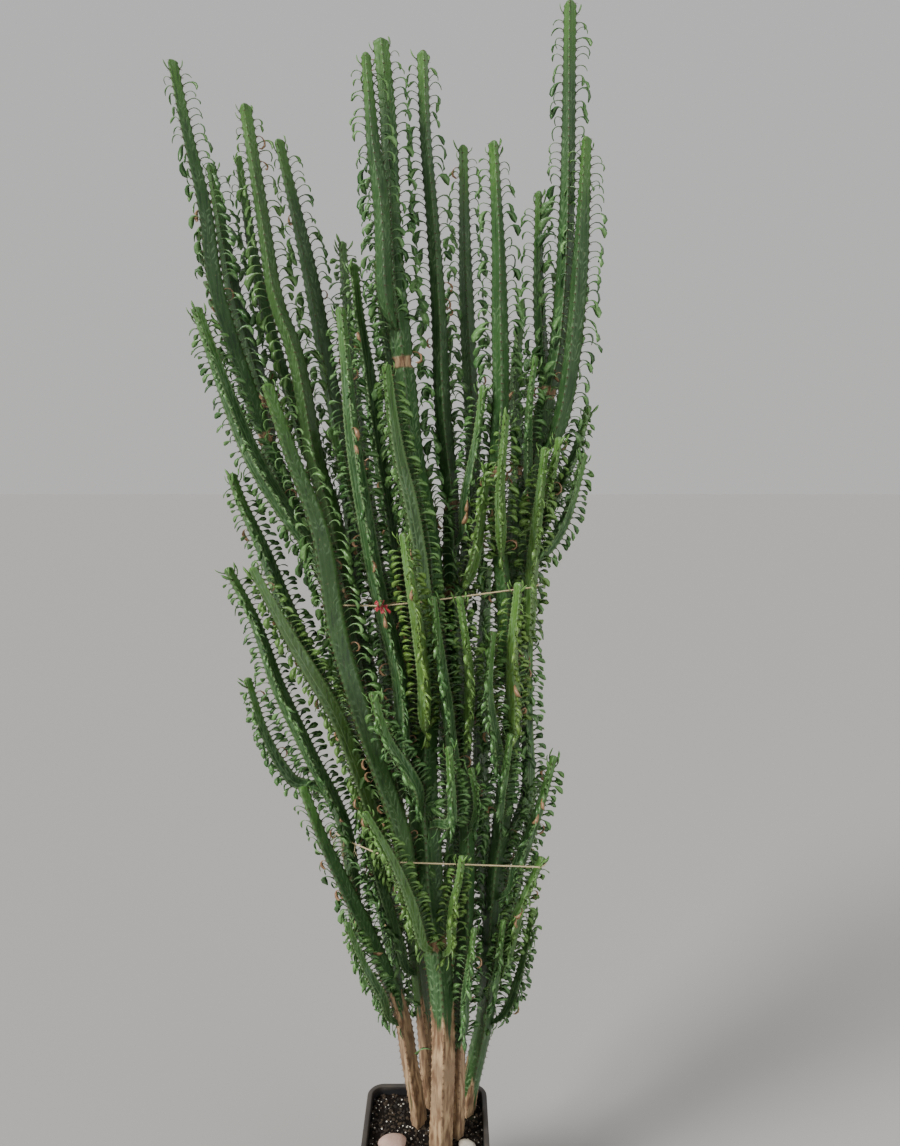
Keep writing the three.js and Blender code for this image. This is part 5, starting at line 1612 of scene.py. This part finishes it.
# %% The rosette
def rosette_mesh(centre, out):
    side = np.cross(UP, out)
    side /= np.linalg.norm(side)
    up = np.cross(out, side)
    strips = []
    for petal in range(ROSETTE["petals"]):
        angle = FULL_TURN * petal / ROSETTE["petals"] + 0.3
        strips.append(petal_strip(centre, out, up * math.cos(angle) + side * math.sin(angle), petal))
    coil = np.linspace(0, ROSETTE["rolls"] * FULL_TURN, 60)
    path = [centre + out * 3.6
            + (side * math.cos(t) + up * math.sin(t)) * (0.9 + ROSETTE["heart"] * t / coil[-1])
            for t in coil]
    strips.append(strip(path, [out] * len(coil), [4.2] * len(coil)))
    for way, drop in ((1, 10), (0.55, 15)):
        path = [centre + side * way * 19 * s - up * drop * s ** 1.6 + out * (1.5 + 2 * math.sin(3 * s))
                for s in np.linspace(0, 1, 12)]
        strips.append(strip(path, [up * 0.9 + side * 0.35 * way] * 12, [5.5] * 12))
    points, faces = [], []
    for spots, around in strips:
        faces += [[len(points) + i for i in face] for face in around]
        points += spots
    mesh = new_mesh("rosette", points, faces)
    mesh.shade_smooth()
    return mesh


def ribbon_skin():
    material, tree, shader = new_material("ribbon_skin", Roughness=0.34, Sheen_Weight=0.5)
    fine = cloud(tree, 900, 2)
    shade = mix(fine, colour(150, 22, 34), colour(196, 48, 58))
    feed(shader, "Base Color", mix(cloud(tree, 120) * 0.5, shade, colour(112, 14, 26)))
    bump(shader, fine, 0.3, 0.0003)
    return material


spot, out = spot_near(lines["twine_upper"], ROSETTE["near"])
rosette = place_piece("rosette_loops", rosette_mesh(spot + out * (TWINE["radius"] + 3), out), ribbon_skin(),
                      "ribbon", "ribbon_rosette")
print("rosette faces:", len(rosette.data.polygons))

# %% [markdown]
# ## The studio
# The plant stands on a plain pale floor in soft light, with the main light from the left, as in the
# photograph. A large square lamp fills the shadows, and the sky is almost white, warmer at the horizon
# than above.

# %% The floor
FLOOR = 30000


corners = [(x * FLOOR, y * FLOOR, 0) for x, y in ((-1, -1), (1, -1), (1, 1), (-1, 1))]
floor = add_object("floor", new_mesh("floor", corners, [(0, 1, 2, 3)]))
floor_material, _, _ = new_material("floor_skin", Roughness=0.7, Base_Color=colour(172, 170, 167))
floor.data.materials.append(floor_material)
print("floor:", 2 * FLOOR * MM, "m wide")


# %% The lights
def add_light(name, kind, towards, power, tint, **settings):
    light = bpy.data.lights.new(name, kind)
    light.energy, light.color = power, tint
    for setting, value in settings.items():
        setattr(light, setting, value)
    obj = add_object(name, light)
    obj.rotation_euler = Vector(towards).to_track_quat("-Z", "Y").to_euler()
    return obj


add_light("key", "SUN", (1.0, 0.62, -0.85), 3.8, (1.0, 0.985, 0.96), angle=math.radians(20))
fill = add_light("fill", "AREA", (-3.0, 2.4, -0.6), 46, (0.95, 0.98, 1.0), size=2.6)
fill.location = (3.0, -2.4, 1.8)

world = bpy.data.worlds.new("studio")
world.use_nodes = True
sky = world.node_tree.nodes["Background"]
height = up_share(put(world.node_tree, "ShaderNodeTexCoord", output="Generated"))
feed(sky, "Color", mix(smooth(height, 0.0, 0.9), (0.98, 0.965, 0.95, 1), (0.98, 0.98, 1.0, 1)))
sky.inputs["Strength"].default_value = 0.6
bpy.context.scene.world = world
print("lights:", len(bpy.data.lights))
